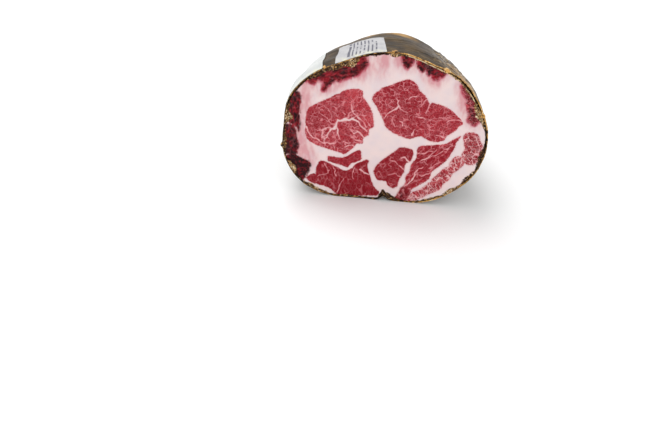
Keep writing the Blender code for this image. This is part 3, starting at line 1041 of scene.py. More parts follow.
@dataclass
class Meat:
    """The cured neck: a finely gridded cut face, and sides that follow the wrapper with a small gap.

    Attributes:
        roll: the body that it follows.
        finish: its material.
        wrapper_gap: from its sides to the outside of the wrapper.
        loose_edge: the extra gap at the cut, where the wrapper has come away.
        face_steps: points along each side of the face's grid.
        side_shares: where the rings of its sides are.
        lean_reach_mm: how far from a muscle its distance is still worked out.
        carry_mm: how far a dried muscle's outline is carried out at the rim.
        carry_gap_mm: outlines nearer the rim than this are carried out in full.
        still_gap_mm: outlines further from it than this stay where they are.
        dried_from: muscles of this dryness or more count as dried.
        bleeds_below: dried muscles of less dryness than this bleed into the fat.
        net_spacing: how far apart the muscles' nets of threads lie in the noise's own space.
        vein_reach_mm: how far from a vein its distance is still worked out.
        vein_wander_mm: how far noise bends the veins.
    """

    roll: Roll
    finish: MarbledMeat
    wrapper_gap: float = 0.0007
    loose_edge: Stretch = Stretch(33.0, 30.0, 0.0009)
    face_steps: int = 258
    side_shares: tuple[float, ...] = (0.004, 0.012, 0.03, 0.07, 0.15, 0.28, 0.45, 0.63, 0.8, 0.92, 0.98)
    lean_reach_mm: float = 9.0
    carry_mm: float = 6.0
    carry_gap_mm: float = 2.6
    still_gap_mm: float = 3.8
    dried_from: float = 0.5
    bleeds_below: float = 0.72
    net_spacing: float = 40.0
    vein_reach_mm: float = 3.0
    vein_wander_mm: float = 2.6

    def inset(self, angle: Array, share: Array | float) -> Array:
        """How far the meat lies inside the outside of the wrapper, more where the wrapper is loose."""
        return self.wrapper_gap + self.loose_edge.at(angle) * (1.0 - share)

    def face_grid(self) -> tuple[Array, Array]:
        """A square grid bent into a disc.

        The square's rings become circles: the larger of |u| and |v| is the radius, and the smaller over
        the larger, times 45 degrees, is the angle from that side's middle.

        Returns:
            (share of the way to the rim, angle), both (steps, steps).
        """
        ticks = np.linspace(-1.0, 1.0, self.face_steps)
        u, v = np.meshgrid(ticks, ticks)
        wide = np.abs(u) > np.abs(v)
        larger, smaller = np.where(wide, u, v), np.where(wide, v, u)
        quarter = math.pi / 4.0 * smaller / np.where(larger == 0.0, 1.0, larger)
        angle = np.where(wide, quarter, math.pi / 2.0 - quarter)
        return np.abs(larger), np.where(larger < 0.0, angle + math.pi, angle) % TURN

    def face_fields(self, flat_mm: Array, rim_mm: Array, angle: Array) -> dict[str, Array]:
        """Everything that the finish reads on the cut face.

        Args:
            flat_mm: places on the face, (n, 2), side and height.
            rim_mm: distance to the rim.
            angle: direction from the face's centre.

        Returns:
            Named values, each (n,) or (n, 3).
        """
        listed = tuple(MUSCLES.values())
        depths = np.stack([
            depth_inside(flat_mm, self.carried_to_rim(muscle), self.lean_reach_mm) + muscle.swell_mm
            for muscle in listed
        ])
        owner = depths.argmax(0)
        values = {
            name: np.array([getattr(muscle, name) for muscle in listed])[owner]
            for name in ("deepness", "dryness", "marbling")
        }
        lie = np.radians([muscle.lie_degrees for muscle in listed])[owner]
        stretch, width = (np.array([muscle.grain.value[part] for muscle in listed])[owner] for part in (0, 1))
        width = width / Grain.EVEN.value[1]
        along = (flat_mm[:, 0] * np.cos(lie) + flat_mm[:, 1] * np.sin(lie)) / stretch / width
        across = (flat_mm[:, 1] * np.cos(lie) - flat_mm[:, 0] * np.sin(lie)) / width
        values["grain_mm"] = np.stack((along, across, self.net_spacing * owner), axis=-1)
        values["lean_mm"] = depths.max(0)
        values["vein_mm"] = self.vein_depth(flat_mm)
        bleeders = [self.dried_from < muscle.dryness < self.bleeds_below for muscle in listed]
        near_bleeder = depths[np.array(bleeders)].max(0)
        values["bleeding"] = smooth(near_bleeder, -2.8, 0.2)
        values["deepness"] = values["deepness"] + self.patches(flat_mm, TONE_PATCHES_MM, 1.0)
        pinker = self.patches(flat_mm, PINK_STAINS_MM, 0.55) + 0.6 * smooth(near_bleeder, -7.5, 0.0)
        values["stain"] = np.clip(pinker, 0.0, 1.2)
        values["crust_mm"] = along_rim(angle, CRUST_WIDTHS_MM) - rim_mm
        return values

    @staticmethod
    def patches(flat_mm: Array, spots: Iterable[tuple[float, float, float, float]], tallness: float) -> Array:
        """The sum of some soft round patches.

        Args:
            flat_mm: places on the face, (n, 2).
            spots: each patch's side, height, size and strength.
            tallness: a height counts as this much of its length, so that below 1 the patches are tall.

        Returns:
            How much there is at each place, (n,).
        """
        total = np.zeros(len(flat_mm))
        for x, z, size, strength in spots:
            offset = (flat_mm - (x, z)) * (1.0, tallness)
            total += strength * bell(np.hypot(offset[:, 0], offset[:, 1]), size)
        return total

    def carried_to_rim(self, muscle: Muscle) -> Array:
        """A muscle's outline, which near the rim is carried out past it where the muscle is dried.

        Args:
            muscle: the muscle.

        Returns:
            A smooth loop's points, (m, 2).
        """
        loop = smooth_loop(muscle.outline)
        if muscle.dryness < self.dried_from:
            return loop
        centre = np.array((0.0, self.roll.face_centre / MM))
        offset = loop - centre
        radius = np.hypot(offset[:, 0], offset[:, 1])
        gap = self.roll.rim_radius(np.arctan2(offset[:, 1], offset[:, 0])) / MM - radius
        carried = radius + self.carry_mm * smooth(gap, self.still_gap_mm, self.carry_gap_mm)
        return centre + offset * (carried / radius)[:, None]

    def vein_depth(self, flat_mm: Array) -> Array:
        """How far inside the nearest vein each place is.

        A vein is a row of straight lines, each thinner than the one before, in places bent by noise.

        Args:
            flat_mm: places on the face, (n, 2).

        Returns:
            Depths in millimetres, (n,), negative outside.
        """
        space = np.concatenate((flat_mm, np.zeros((len(flat_mm), 1))), axis=1)
        bends = [cloud(space, 3.0, seed, 2) - 0.5 for seed in (Pattern.VEINS_SIDEWAYS, Pattern.VEINS_UPWARDS)]
        places = flat_mm + self.vein_wander_mm * np.stack(bends, axis=-1)
        reach = self.vein_reach_mm
        depth = np.full(len(places), -reach)
        for vein in VEINS:
            points = np.array(vein.points, float)
            near = ((places > points.min(0) - reach) & (places < points.max(0) + reach)).all(-1)
            thinning = np.linspace(0.85, 0.45, len(points))
            for first, last, wide, narrow in zip(points[:-1], points[1:], thinning[:-1], thinning[1:]):
                away = line_distance(places[near], first[None], last[None])
                depth[near] = np.maximum(depth[near], vein.width / 4.0 * (wide + narrow) - away)
        return depth

    def build(self) -> bpy.types.Object:
        """Makes the piece: the face pressed into low relief, then rings along the sides to the far end.

        Returns:
            The piece.
        """
        ratio, angle = self.face_grid()
        inset = self.inset(angle, 0.0)
        centre = np.array((0.0, 0.0, self.roll.face_centre)) + np.array(self.roll.shift)
        rim = self.roll.point(angle, 0.0, inset)
        face = centre + (rim - centre) * ratio[..., None]
        rim_mm = np.linalg.norm(rim - face, axis=-1) / MM
        flat_mm = face[..., (0, 2)].reshape(-1, 2) / MM + np.array((0.0, self.roll.settle / MM))
        fields = self.face_fields(flat_mm, rim_mm.ravel(), angle.ravel())
        fields = {name: values.reshape(*ratio.shape, *values.shape[1:]) for name, values in fields.items()}
        fields["rim_mm"] = rim_mm
        fields["gilded"] = along_rim(angle, CREAM_CASING)
        fields["pale_crust"] = self.pale_crust(angle)
        face[..., 1] += self.relief(face, fields) * MM

        skin = Skin()
        numbers = skin.place(face, **fields)
        skin.weave(numbers, closed=False)
        rim_numbers = border(numbers)
        around = border(angle)
        share = np.array(self.side_shares)[:, None]
        sides = self.roll.point(around[None, :], share, self.inset(around[None, :], share))
        side_fields = {name: -self.lean_reach_mm for name in ("lean_mm", "vein_mm")}
        side_fields |= {name: 0.0 for name in ("deepness", "dryness", "marbling", "stain", "bleeding")}
        side_fields |= {"crust_mm": -share * 100.0, "rim_mm": -share * 100.0, "grain_mm": sides / MM}
        side_fields |= {"gilded": along_rim(around, CREAM_CASING), "pale_crust": self.pale_crust(around)}
        rings = skin.place(sides, **side_fields)
        skin.weave(np.concatenate((rim_numbers[None, :], rings)))
        tip = self.roll.point(np.zeros(1), np.ones(1), self.inset(np.zeros(1), 1.0))
        end_fields = {name: parts[-1][-1:] for name, parts in skin.fields.items()}
        skin.cap(rings[-1], int(skin.place(tip, **end_fields)[0]))
        return skin.finish("cured_neck", self.finish.dress())

    @staticmethod
    def pale_crust(angle: Array) -> Array:
        """How pale the crust's grains are: gold or cream in clumps, and dark at the seam."""
        return 0.2 + 0.6 * along_rim(angle, PALE_CRUST) - DARK_SEAM.at(angle)

    @staticmethod
    def relief(face: Array, fields: dict[str, Array]) -> Array:
        """How far the face stands back from flat: dried lean sinks, and the crust is rough.

        Args:
            face: the face's flat points, (..., 3), in metres.
            fields: the values of the finish at those points.

        Returns:
            Depths in millimetres.
        """
        place_mm = face / MM
        lean = smooth(fields["lean_mm"], -0.6, 0.8)
        sinking = lean * (0.10 + 0.35 * fields["dryness"])
        swell = 0.30 * (cloud(place_mm, 16.0, Pattern.FACE_SWELL) - 0.5)
        grain = 0.14 * (cloud(place_mm, 3.0, Pattern.FACE_GRAIN) - 0.5)
        crust = smooth(fields["crust_mm"], -0.4, 0.6) * (0.9 * ridges(place_mm, 1.7, Pattern.CRUST, 2) - 0.55)
        rounding = 0.3 * smooth(fields["rim_mm"], 0.6, 0.0)
        return sinking + swell + grain - crust + rounding


class FilmFinish:
    """The finish of the wrapper: a brown, glossy film, gold at its cut edge and on dried pleats, with painted
    highlights and painted shade.
    """

    olive = tint(88, 69, 42)
    dark_olive = tint(39, 29, 17)
    purplish = tint(62, 44, 32)
    greyed = tint(120, 104, 78)
    painted_highlight_tint = tint(200, 174, 130)
    gold_and_highlight_tint = tint(196, 152, 88)
    edge_gold = tint(208, 158, 86)
    edge_cream_highlight = tint(236, 212, 166)
    edge_brown = tint(116, 82, 44)
    edge_dark = tint(34, 23, 13)

    def dress(self) -> bpy.types.Material:
        """Lays out the material's nodes.

        Returns:
            The material.
        """
        bench = Bench("wrapper_film")
        hoops = bench.warped(bench.warped(bench.stretched((0.2, 0.62, 0.2)), 4.0, 2.6), 1.1, 0.7)
        streaks = bench.mist(1.0, hoops, 4.0)
        clouds = bench.mist(9.0, None, 4.0)
        crumpled = bench.read("crumple")
        # Painted shade: a dark band behind each hoop fold, where the fold would shade the film.
        furrow = bench.read("furrow") * (bench.mist(2.5, hoops) + 0.3)
        # Painted highlights: silver glints scattered over the crumpled patch.
        glints = crumpled.rise(0.25, 0.8) * bench.mist(1.7, None, 4.0).rise(0.48, 0.64)
        glints = glints * bench.mist(5.0, hoops).rise(0.4, 0.62)
        patchy = (streaks - 0.5) * 1.6 + bench.sway(6.0, 2.4, hoops, 3.0) + 0.6
        # Gold on the dried pleats and the stub, and painted gold highlights along the film's outline at the
        # top and at the upper right.
        thin = (bench.read("dried_thin") * patchy).rise(0.1, 1.3)
        lip = (bench.read("lip") + bench.sway(1.2, 0.6)).rise(0.35, 0.65)
        colour = bench.paint(
            self.dark_olive,
            ((streaks * 0.8 + clouds * 0.7).rise(0.5, 1.0), self.olive),
            (streaks.rise(0.5, 0.7) * clouds.rise(0.35, 0.65) * 0.5, self.greyed),
            (furrow.rise(0.2, 0.8) * 0.75, self.dark_olive),
            (crumpled * bench.mist(3.0).rise(0.4, 0.6) * 0.8, self.purplish),
            (glints * 0.75, self.painted_highlight_tint),
            (thin * 0.8, self.gold_and_highlight_tint),
            (lip, self.edge_colour(bench)),
        )
        roughness = 0.46 - crumpled * 0.2 + (clouds - 0.5) * 0.25 + (streaks - 0.5) * 0.1
        height = streaks * 0.7 + bench.mist(1.2, None, 3.0) * 0.3
        constants = {"IOR": 1.45, "Specular IOR Level": 0.2, "Coat Weight": 0.03, "Coat Roughness": 0.2}
        return bench.finish(colour, roughness, height, 0.35, constants)

    def edge_colour(self, bench: Bench) -> object:
        """The cut edge: dark in places, and brown or gold in others, with cream patches that are painted
        highlights.

        Args:
            bench: the material's bench.

        Returns:
            The colour's socket.
        """
        gilded = bench.read("gilded") + bench.sway(1.6, 3.4, None, 4.0)
        return bench.paint(
            self.edge_dark,
            (gilded.rise(0.1, 0.4), self.edge_brown),
            (gilded.rise(0.4, 0.9), self.edge_gold),
            # Painted highlights: cream where the edge's value is highest.
            (gilded.rise(1.05, 1.4), self.edge_cream_highlight),
        )


@dataclass(frozen=True)
class Pinch:
    """A place where the film's cut edge is gathered into a small knot or nub."""

    degrees: float
    half_width_degrees: float
    outward_mm: float
    inward_mm: float
    forward_mm: float

    def at(self, angle: Array) -> Array:
        """1 at the pinch and 0 away from it."""
        return Stretch(self.degrees, self.half_width_degrees, 1.0).at(angle)


@dataclass
class Wrapper:
    """The film round the meat: cut edge, wrinkled outside, lining, and the gathered far end.

    Attributes:
        roll: the body that it follows.
        finish: its material.
        thickness: of the film.
        rim_proud: how far the cut edge stands in front of the meat.
        rim_wave: how far it waves to and fro.
        rim_ripple: how far it stands out in small waves.
        fold_height: of the hoop folds.
        fold_depths: how far behind the cut each hoop fold is.
        fold_half_width: of each hoop fold.
        furrow_half_width: of the band of painted shade behind each fold.
        furrow_behind: from the fold's crest to its band of painted shade.
        pleat_count: how many pleats run into the gathered end.
        pleat_height: how high they are.
        crumpled: where the film is crumpled.
        lifted_edge: where the cut edge ripples more than elsewhere.
        outline_gold_highlight: where the film behind the cut is painted with a gold highlight along its
            outline.
        crease_gold_highlights: where a band of creases further back is painted with gold highlights.
        dried_pleats: where the pleats have dried golden.
        last_share: where the body ends and the gathered stub begins.
        stub: the stub's rings, each with its distance behind the body and its scale.
        columns: points round each ring.
        rings: rings of the outside.
        lining_rings: rings of the inside.
        crowding: above 1, the rings of the outside crowd towards the cut.
        lining_crowding: the same for the inside.
        pinches: the knots of the cut edge.
        labels: the labels stuck on it, under which it is smoother.
    """

    roll: Roll
    finish: FilmFinish
    thickness: float = 0.00045
    rim_proud: float = 0.0006
    rim_wave: float = 0.0004
    rim_ripple: float = 0.0006
    fold_height: float = 0.0011
    fold_depths: tuple[float, ...] = (0.013, 0.027, 0.044)
    fold_half_width: float = 0.0042
    furrow_half_width: float = 0.0016
    furrow_behind: float = 0.0036
    pleat_count: int = 16
    pleat_height: float = 0.0017
    crumpled: Stretch = Stretch(43.0, 17.0, 1.0)
    lifted_edge: Stretch = Stretch(45.0, 45.0, 0.75)
    outline_gold_highlight: Stretch = Stretch(37.0, 15.0, 1.6)
    crease_gold_highlights: tuple[Stretch, ...] = (
        Stretch(107.0, 11.0, 1.3), Stretch(80.0, 12.0, 1.3), Stretch(126.0, 7.0, 0.8),
    )
    dried_pleats: tuple[Stretch, ...] = (Stretch(20.0, 60.0, 0.3), Stretch(200.0, 60.0, 0.35))
    last_share: float = 0.985
    stub: tuple[tuple[float, float], ...] = (
        (0.0015, 0.80), (0.0030, 0.62), (0.0042, 0.55), (0.0055, 0.55), (0.0070, 0.66), (0.0085, 0.74),
        (0.0094, 0.66), (0.0098, 0.52),
    )
    columns: int = 440
    rings: int = 172
    lining_rings: int = 20
    crowding: float = 1.25
    lining_crowding: float = 1.6
    pinches: tuple[Pinch, ...] = (
        Pinch(84.6, 1.8, 0.8, 0.6, 0.8), Pinch(51.1, 1.5, 0.9, 1.5, 0.8), Pinch(192.0, 1.3, 1.3, 0.2, 0.5),
        Pinch(16.5, 1.2, 0.7, 1.3, 0.6), Pinch(131.5, 1.0, 0.5, 0.3, 0.5),
    )
    labels: list["Label"] = field(default_factory=list)

    def hoops(self, angle: Array, share: Array, half_width: float, behind: float = 0.0) -> Array:
        """Where the hoop folds near the cut are: bands that wander and come and go round the body.

        Args:
            angle: round the outline, in radians.
            share: along the length.
            half_width: of each band.
            behind: how far behind the folds' crests the bands lie.

        Returns:
            1 on a band's middle where it is strongest, and 0 away from it.
        """
        depth = self.roll.length * share - behind
        bands = np.zeros(np.broadcast(angle, share).shape)
        for number, fold_depth in enumerate(self.fold_depths):
            wander = 0.004 * np.sin(2.0 * angle + 1.7 * number) + 0.002 * np.sin(5.0 * angle + number)
            strength = 0.5 + 0.5 * np.sin(3.0 * angle + 2.1 * number)
            bands = bands + strength * bell(depth - fold_depth - wander, half_width)
        return bands

    def folds(self, angle: Array, share: Array) -> Array:
        """How high the folds stand: hoops near the cut, then pleats that run into the gathered end.

        Args:
            angle: round the outline, in radians.
            share: along the length.

        Returns:
            Heights.
        """
        hoops = self.hoops(angle, share, self.fold_half_width)
        gathering = smooth(share, 0.35, 0.85)
        pleats = 0.5 + 0.5 * np.cos(self.pleat_count * angle + 1.2 * np.sin(3.0 * angle))
        return self.fold_height * hoops * (1.0 - gathering) + self.pleat_height * pleats * gathering

    def crumple(self, angle: Array, share: Array) -> Array:
        """Where the film is crumpled: a patch that starts behind the cut and fades further back."""
        depth_mm = share * self.roll.length / MM
        return self.crumpled.at(angle) * smooth(depth_mm, 2.0, 10.0) * (1.0 - smooth(depth_mm, 45.0, 75.0))

    def wrinkles(self, angle: Array, share: Array) -> Array:
        """Fine relief: long hoop wrinkles, and sharp facets in the crumpled patch.

        Args:
            angle: round the outline, in radians.
            share: along the length.

        Returns:
            Heights, smaller under the labels.
        """
        hoop = ridges(self.roll.side_by_side(angle, share, 26.0, 3.4), 1.0, Pattern.HOOP_WRINKLES, 3)
        swell = cloud(self.roll.side_by_side(angle, share, 20.0, 14.0), 1.0, Pattern.FILM_SWELL, 2) - 0.5
        facets = ridges(self.roll.side_by_side(angle, share, 7.0, 7.0), 1.0, Pattern.CRUMPLES, 3) - 0.6
        under_label = np.max([label.cover(angle, share) for label in self.labels], axis=0)
        free = 1.0 - 0.85 * under_label
        loose = self.crumple(angle, share)
        return MM * free * (0.55 * (hoop - 0.6) * (1.0 - loose) + 0.9 * swell + 2.3 * facets * loose)

    def along_edge(self, angle: Array, share: Array, size_mm: float, seed: int) -> Array:
        """Noise that changes along the cut edge and not with depth, 0 to 1."""
        return cloud(self.roll.side_by_side(angle, np.zeros_like(share), size_mm, 1.0), 1.0, seed, 2)

    def ripple(self, angle: Array, share: Array) -> Array:
        """How far the cut edge stands out in small waves, most where the film is loose.

        Args:
            angle: round the outline, in radians.
            share: along the length.

        Returns:
            Heights, 0 away from the cut.
        """
        waves = self.along_edge(angle, share, 5.0, Pattern.RIM_WAVES) - 0.35
        loose = 0.25 + self.lifted_edge.at(angle)
        return self.rim_ripple * 2.0 * loose * np.maximum(waves, 0.0) * bell(share * self.roll.length, 0.005)

    @staticmethod
    def off_floor(angle: Array) -> Array:
        """0 where the body's weight presses the film flat, and 1 further up."""
        return smooth(np.sin(angle), -0.95, -0.70)

    def outside(self, angle: Array, share: Array) -> Array:
        """The outer surface, all its relief included, and never below the surface that it lies on.

        Args:
            angle: round the outline, in radians.
            share: along the length.

        Returns:
            Places, (..., 3).
        """
        relief = self.folds(angle, share) + self.wrinkles(angle, share) + self.ripple(angle, share)
        lift = self.off_floor(angle) * relief
        rim = 1.0 - smooth(share * self.roll.length, 0.0, 0.012)
        forward = (self.rim_proud + self.rim_wave * np.sin(7.0 * angle) * np.sin(4.0 * angle + 1.0)) * rim
        ragged = 0.25 * MM * (self.along_edge(angle, share, 4.0, Pattern.RAGGED_RIM) - 0.5)
        near_rim = bell(share * self.roll.length, 0.003)
        for pinch in self.pinches:
            bump = pinch.at(angle) * near_rim
            lift = lift + pinch.outward_mm * MM * bump
            forward = forward + pinch.forward_mm * MM * bump
        points = self.roll.point(angle, share) + self.roll.outward(angle, share) * lift[..., None]
        points[..., 1] -= forward + ragged * near_rim
        points[..., 2] = np.maximum(points[..., 2], 0.0)
        return points

    def lining(self, angle: Array, share: Array) -> Array:
        """The inner surface, pushed in at each pinch.

        Args:
            angle: round the outline, in radians.
            share: along the length.

        Returns:
            Places, (..., 3).
        """
        inset = self.thickness - self.off_floor(angle) * self.ripple(angle, share)
        for pinch in self.pinches:
            inset = inset + pinch.inward_mm * MM * pinch.at(angle) * bell(share * self.roll.length, 0.002)
        return self.roll.point(angle, share, inset)

    def dried_thin(self, angle: Array, share: Array) -> Array:
        """Where the film is gold: the dried pleats, and painted highlights on a band of creases and behind
        the cut.

        Args:
            angle: round the outline, in radians.
            share: along the length.

        Returns:
            How much, from 0.
        """
        depth_mm = share * self.roll.length / MM
        band_mm = depth_mm + 2.0 * np.sin(7.0 * angle)
        pleated = smooth(depth_mm + 4.0 * np.sin(5.0 * angle), 70.0, 92.0)
        # Painted gold highlights: a band along the top outline, and a stretch behind the cut at the upper
        # right.
        creased = smooth(band_mm, 33.0, 40.0) * smooth(band_mm, 66.0, 58.0)
        parts = (
            pleated * (0.2 + along_rim(angle, self.dried_pleats)),
            creased * along_rim(angle, self.crease_gold_highlights),
            smooth(depth_mm, 34.0, 14.0) * self.outline_gold_highlight.at(angle),
        )
        return np.max(parts, axis=0)

    def build(self) -> bpy.types.Object:
        """Makes one closed skin: lining from the far end to the cut, the lip, then the outside back.

        Returns:
            The piece.
        """
        angle = (TURN * np.arange(self.columns) / self.columns)[None, :]
        ticks = np.arange(self.lining_rings)[::-1] / self.lining_rings
        inner_share = ticks[:, None] ** self.lining_crowding
        outer_share = self.last_share * (np.arange(self.rings + 1) / self.rings)[:, None] ** self.crowding
        inner = self.lining(angle, inner_share)
        outer = self.outside(angle, outer_share)
        inner[-1, :, 1] = outer[0, :, 1] + 0.10 * MM
        lip = 0.5 * (inner[-1] + outer[0])
        lip[:, 1] -= 0.22 * MM
        centre = outer[-1].mean(0)
        stub = np.stack([
            centre + (outer[-1] - centre) * scale + np.array((0.0, advance, 0.0))
            for advance, scale in self.stub
        ])
        gilded = along_rim(angle, GILDED_EDGE)
        outer_depth_mm = outer_share * self.roll.length / MM
        knots = 1.2 * np.max([pinch.at(angle) for pinch in self.pinches], axis=0)
        # Painted shade behind each hoop fold, stored on the mesh for the finish.
        furrow = self.hoops(angle, outer_share, self.furrow_half_width, self.furrow_behind)

        skin = Skin()
        far = self.roll.point(np.zeros(1), np.ones(1), np.full(1, self.thickness))
        blank = {"crumple": 0.0, "dried_thin": 0.0, "furrow": 0.0}
        pole = skin.place(far, gilded=0.0, lip=0.0, **blank)
        lining = skin.place(inner, gilded=gilded, lip=smooth(inner_share, 0.012, 0.0), **blank)
        ledge = skin.place(lip[None], gilded=gilded, lip=1.0, **blank)
        shown = skin.place(
            outer, gilded=gilded, furrow=furrow,
            lip=np.maximum(smooth(outer_depth_mm, 0.6, 0.1), knots * smooth(outer_depth_mm, 4.5, 1.0)),
            crumple=self.crumple(angle, outer_share), dried_thin=self.dried_thin(angle, outer_share),
        )
        blank["dried_thin"] = 0.35
        gathered = skin.place(stub, gilded=0.0, lip=0.0, **blank)
        end = skin.place(stub[-1].mean(0)[None], gilded=0.0, lip=0.0, **blank)
        skin.weave(np.concatenate((lining, ledge, shown, gathered)))
        skin.cap(lining[0], int(pole[0]))
        skin.cap(gathered[-1], int(end[0]))
        return skin.finish("wrapper_film", self.finish.dress())


class Print(Enum):
    """What is on a label."""

    BARE = "bare"
    GREY_BARS = "grey bars"


@dataclass(frozen=True)
class PaperFinish:
    """The finish of a label: white paper, bare or with rows of short grey bars."""

    print_kind: Print
    white: Colour = tint(190, 189, 190)
    shaded: Colour = tint(168, 167, 171)
    ink: Colour = tint(66, 66, 84)
    yellowed: Colour = tint(226, 224, 190)
    row_pitch_mm: float = 2.5
    first_row_mm: float = 7.5
    last_row_mm: float = 27.5
    bold_row_mm: float = 2.0
    bars_from_mm: float = 2.0
    bars_to_mm: float = 18.4

    def dress(self) -> bpy.types.Material:
        """Lays out the material's nodes.

        Returns:
            The material.
        """
        bench = Bench(f"label_paper_{self.print_kind.name.lower()}")
        sheet = bench.read_vector("sheet_mm")
        parted = bench.node("ShaderNodeSeparateXYZ", {}, {"Vector": sheet})
        across, along = (Signal(bench, parted.outputs[axis]) for axis in ("X", "Y"))
        stained = along.rise(5.0, 0.0) * bench.mist(4.0, sheet).rise(0.4, 0.65) * 0.8
        colour = bench.paint(
            self.white,
            (bench.mist(7.0, sheet, 3.0).rise(0.3, 0.75), self.shaded),
            (stained, self.yellowed),
        )
        if self.print_kind is Print.GREY_BARS:
            colour = bench.blend(self.bars(bench, across, along), colour, self.ink)
        roughness = 0.42 + bench.sway(5.0, 0.15, sheet)
        height = bench.mist(3.0, sheet, 3.0) + bench.mist(0.6, sheet) * 0.2
        return bench.finish(colour, roughness, height, 0.25, {"IOR": 1.45, "Coat Weight": 0.1})

    def bars(self, bench: Bench, across: Signal, along: Signal) -> Signal:
        """Rows of short bars, the first one bold.

        A row is a band of across. Along it, each step of a ladder is inked or bare by a random number.

        Args:
            bench: the material's bench.
            across: millimetres from the sheet's right side.
            along: millimetres from the cut.

        Returns:
            How much ink there is.
        """
        row = bench.maths("FLOOR", across * (1.0 / self.row_pitch_mm), 0.0)
        within = bench.maths("FRACT", across * (1.0 / self.row_pitch_mm), 0.0)
        dash = bench.maths("FLOOR", along * 0.9 + row * 0.37, 0.0)
        spot = bench.node("ShaderNodeCombineXYZ", {}, {"X": row, "Y": dash})
        chance = bench.node("ShaderNodeTexWhiteNoise", {}, {"Vector": spot.outputs["Vector"]})
        shown = Signal(bench, chance.outputs["Value"]).rise(0.20, 0.24)
        first, last, bold = self.first_row_mm, self.last_row_mm, self.bold_row_mm
        bold_row = across.rise(first, first + 0.2) * across.rise(first + bold, first + bold - 0.2)
        band = (within.rise(0.18, 0.28) * within.rise(0.66, 0.56)).over(bold_row)
        rows = across.rise(first, first + 0.3) * across.rise(last + 0.3, last)
        starts = along.rise(self.bars_from_mm, self.bars_from_mm + 0.4)
        ends = along.rise(self.bars_to_mm, self.bars_to_mm - 0.4)
        return band * shown * rows * starts * ends * 0.9


@dataclass(frozen=True)
class Label:
    """A paper label stuck on the wrapper: a sheet between two angles, from the cut to some depth.

    Attributes:
        name: the piece's name.
        node: the CAD node that it stands for.
        finish: its material.
        right_degrees: where its right side meets the cut.
        left_degrees: where its left side is.
        slant_degrees: how far its right side turns towards the right over its depth.
        depth_mm: how far back its right side reaches.
        left_depth_mm: how far back its left side reaches.
        columns: points across it.
        rows: points along it.
        gap: from the wrapper to its underside.
        thickness: of the paper.
    """

    name: str
    node: str
    finish: PaperFinish
    right_degrees: float
    left_degrees: float
    slant_degrees: float
    depth_mm: float
    left_depth_mm: float
    columns: int = 90
    rows: int = 56
    gap: float = 0.00022
    thickness: float = 0.0002

    def cover(self, angle: Array, share: Array) -> Array:
        """Where the label is.

        Args:
            angle: round the outline, in radians.
            share: along the length.

        Returns:
            1 under the label and 0 away from it, with a soft edge.
        """
        middle = math.radians((self.right_degrees + self.left_degrees - self.slant_degrees) / 2.0)
        half = math.radians((self.left_degrees - self.right_degrees + self.slant_degrees) / 2.0)
        depth, deepest = share * Roll.length / MM, max(self.depth_mm, self.left_depth_mm)
        return smooth(turn_between(angle, middle), half + 0.05, half) * smooth(depth, deepest + 3.0, deepest)

    def build(self, wrapper: Wrapper) -> bpy.types.Object:
        """Makes the sheet with its two faces and its edges, a little lifted at the sides.

        Args:
            wrapper: what it lies on.

        Returns:
            The piece.
        """
        u = np.linspace(0.0, 1.0, self.columns)[None, :]
        v = np.linspace(0.0, 1.0, self.rows)[:, None]
        right = self.right_degrees - self.slant_degrees * v
        angle = np.radians(right + (self.left_degrees - right) * u)
        depth_mm = self.depth_mm + (self.left_depth_mm - self.depth_mm) * u
        share = v * depth_mm * MM / wrapper.roll.length
        base = wrapper.outside(angle, share)
        out = wrapper.roll.outward(angle, share)
        edge = np.minimum(np.minimum(u, 1.0 - u), 1.0 - v)
        lifting = 0.15 * MM * smooth(edge, 0.05, 0.0) * cloud(base / MM, 5.0, Pattern.LABEL_LIFT, 2)
        low = base + out * (self.gap + lifting)[..., None]
        high = low + out * self.thickness
        hoop_mm = np.linalg.norm(np.diff(base, axis=1, prepend=base[:, :1]), axis=-1).cumsum(1) / MM
        spread = np.broadcast_arrays(hoop_mm[:, -1:] - hoop_mm, v * self.depth_mm, 0.0)
        sheet = np.stack(spread, axis=-1)

        skin = Skin()
        sides = [skin.place(side, sheet_mm=sheet) for side in (high, low)]
        for numbers in sides:
            skin.weave(numbers, closed=False)
        skin.weave(np.stack([border(numbers) for numbers in sides]))
        return skin.finish(self.name, self.finish.dress(), crease_degrees=35.0)


class CrumbFinish:
    """The finish of the crust's loose grains, each with its own tone."""

    dark = tint(66, 42, 24)
    gold = tint(176, 132, 78)
    cream = tint(232, 212, 176)

    def dress(self) -> bpy.types.Material:
        """Lays out the material's nodes.

        Returns:
            The material.
        """
        bench = Bench("crust_grains")
        tone = bench.read("tone") + bench.sway(0.5, 0.3)
        colour = bench.paint(self.dark, (tone.rise(0.1, 0.5), self.gold), (tone.rise(0.55, 0.95), self.cream))
        roughness = 0.55 + bench.sway(0.6, 0.2)
        return bench.finish(colour, roughness, bench.mist(0.3), 0.08, {"IOR": 1.45})


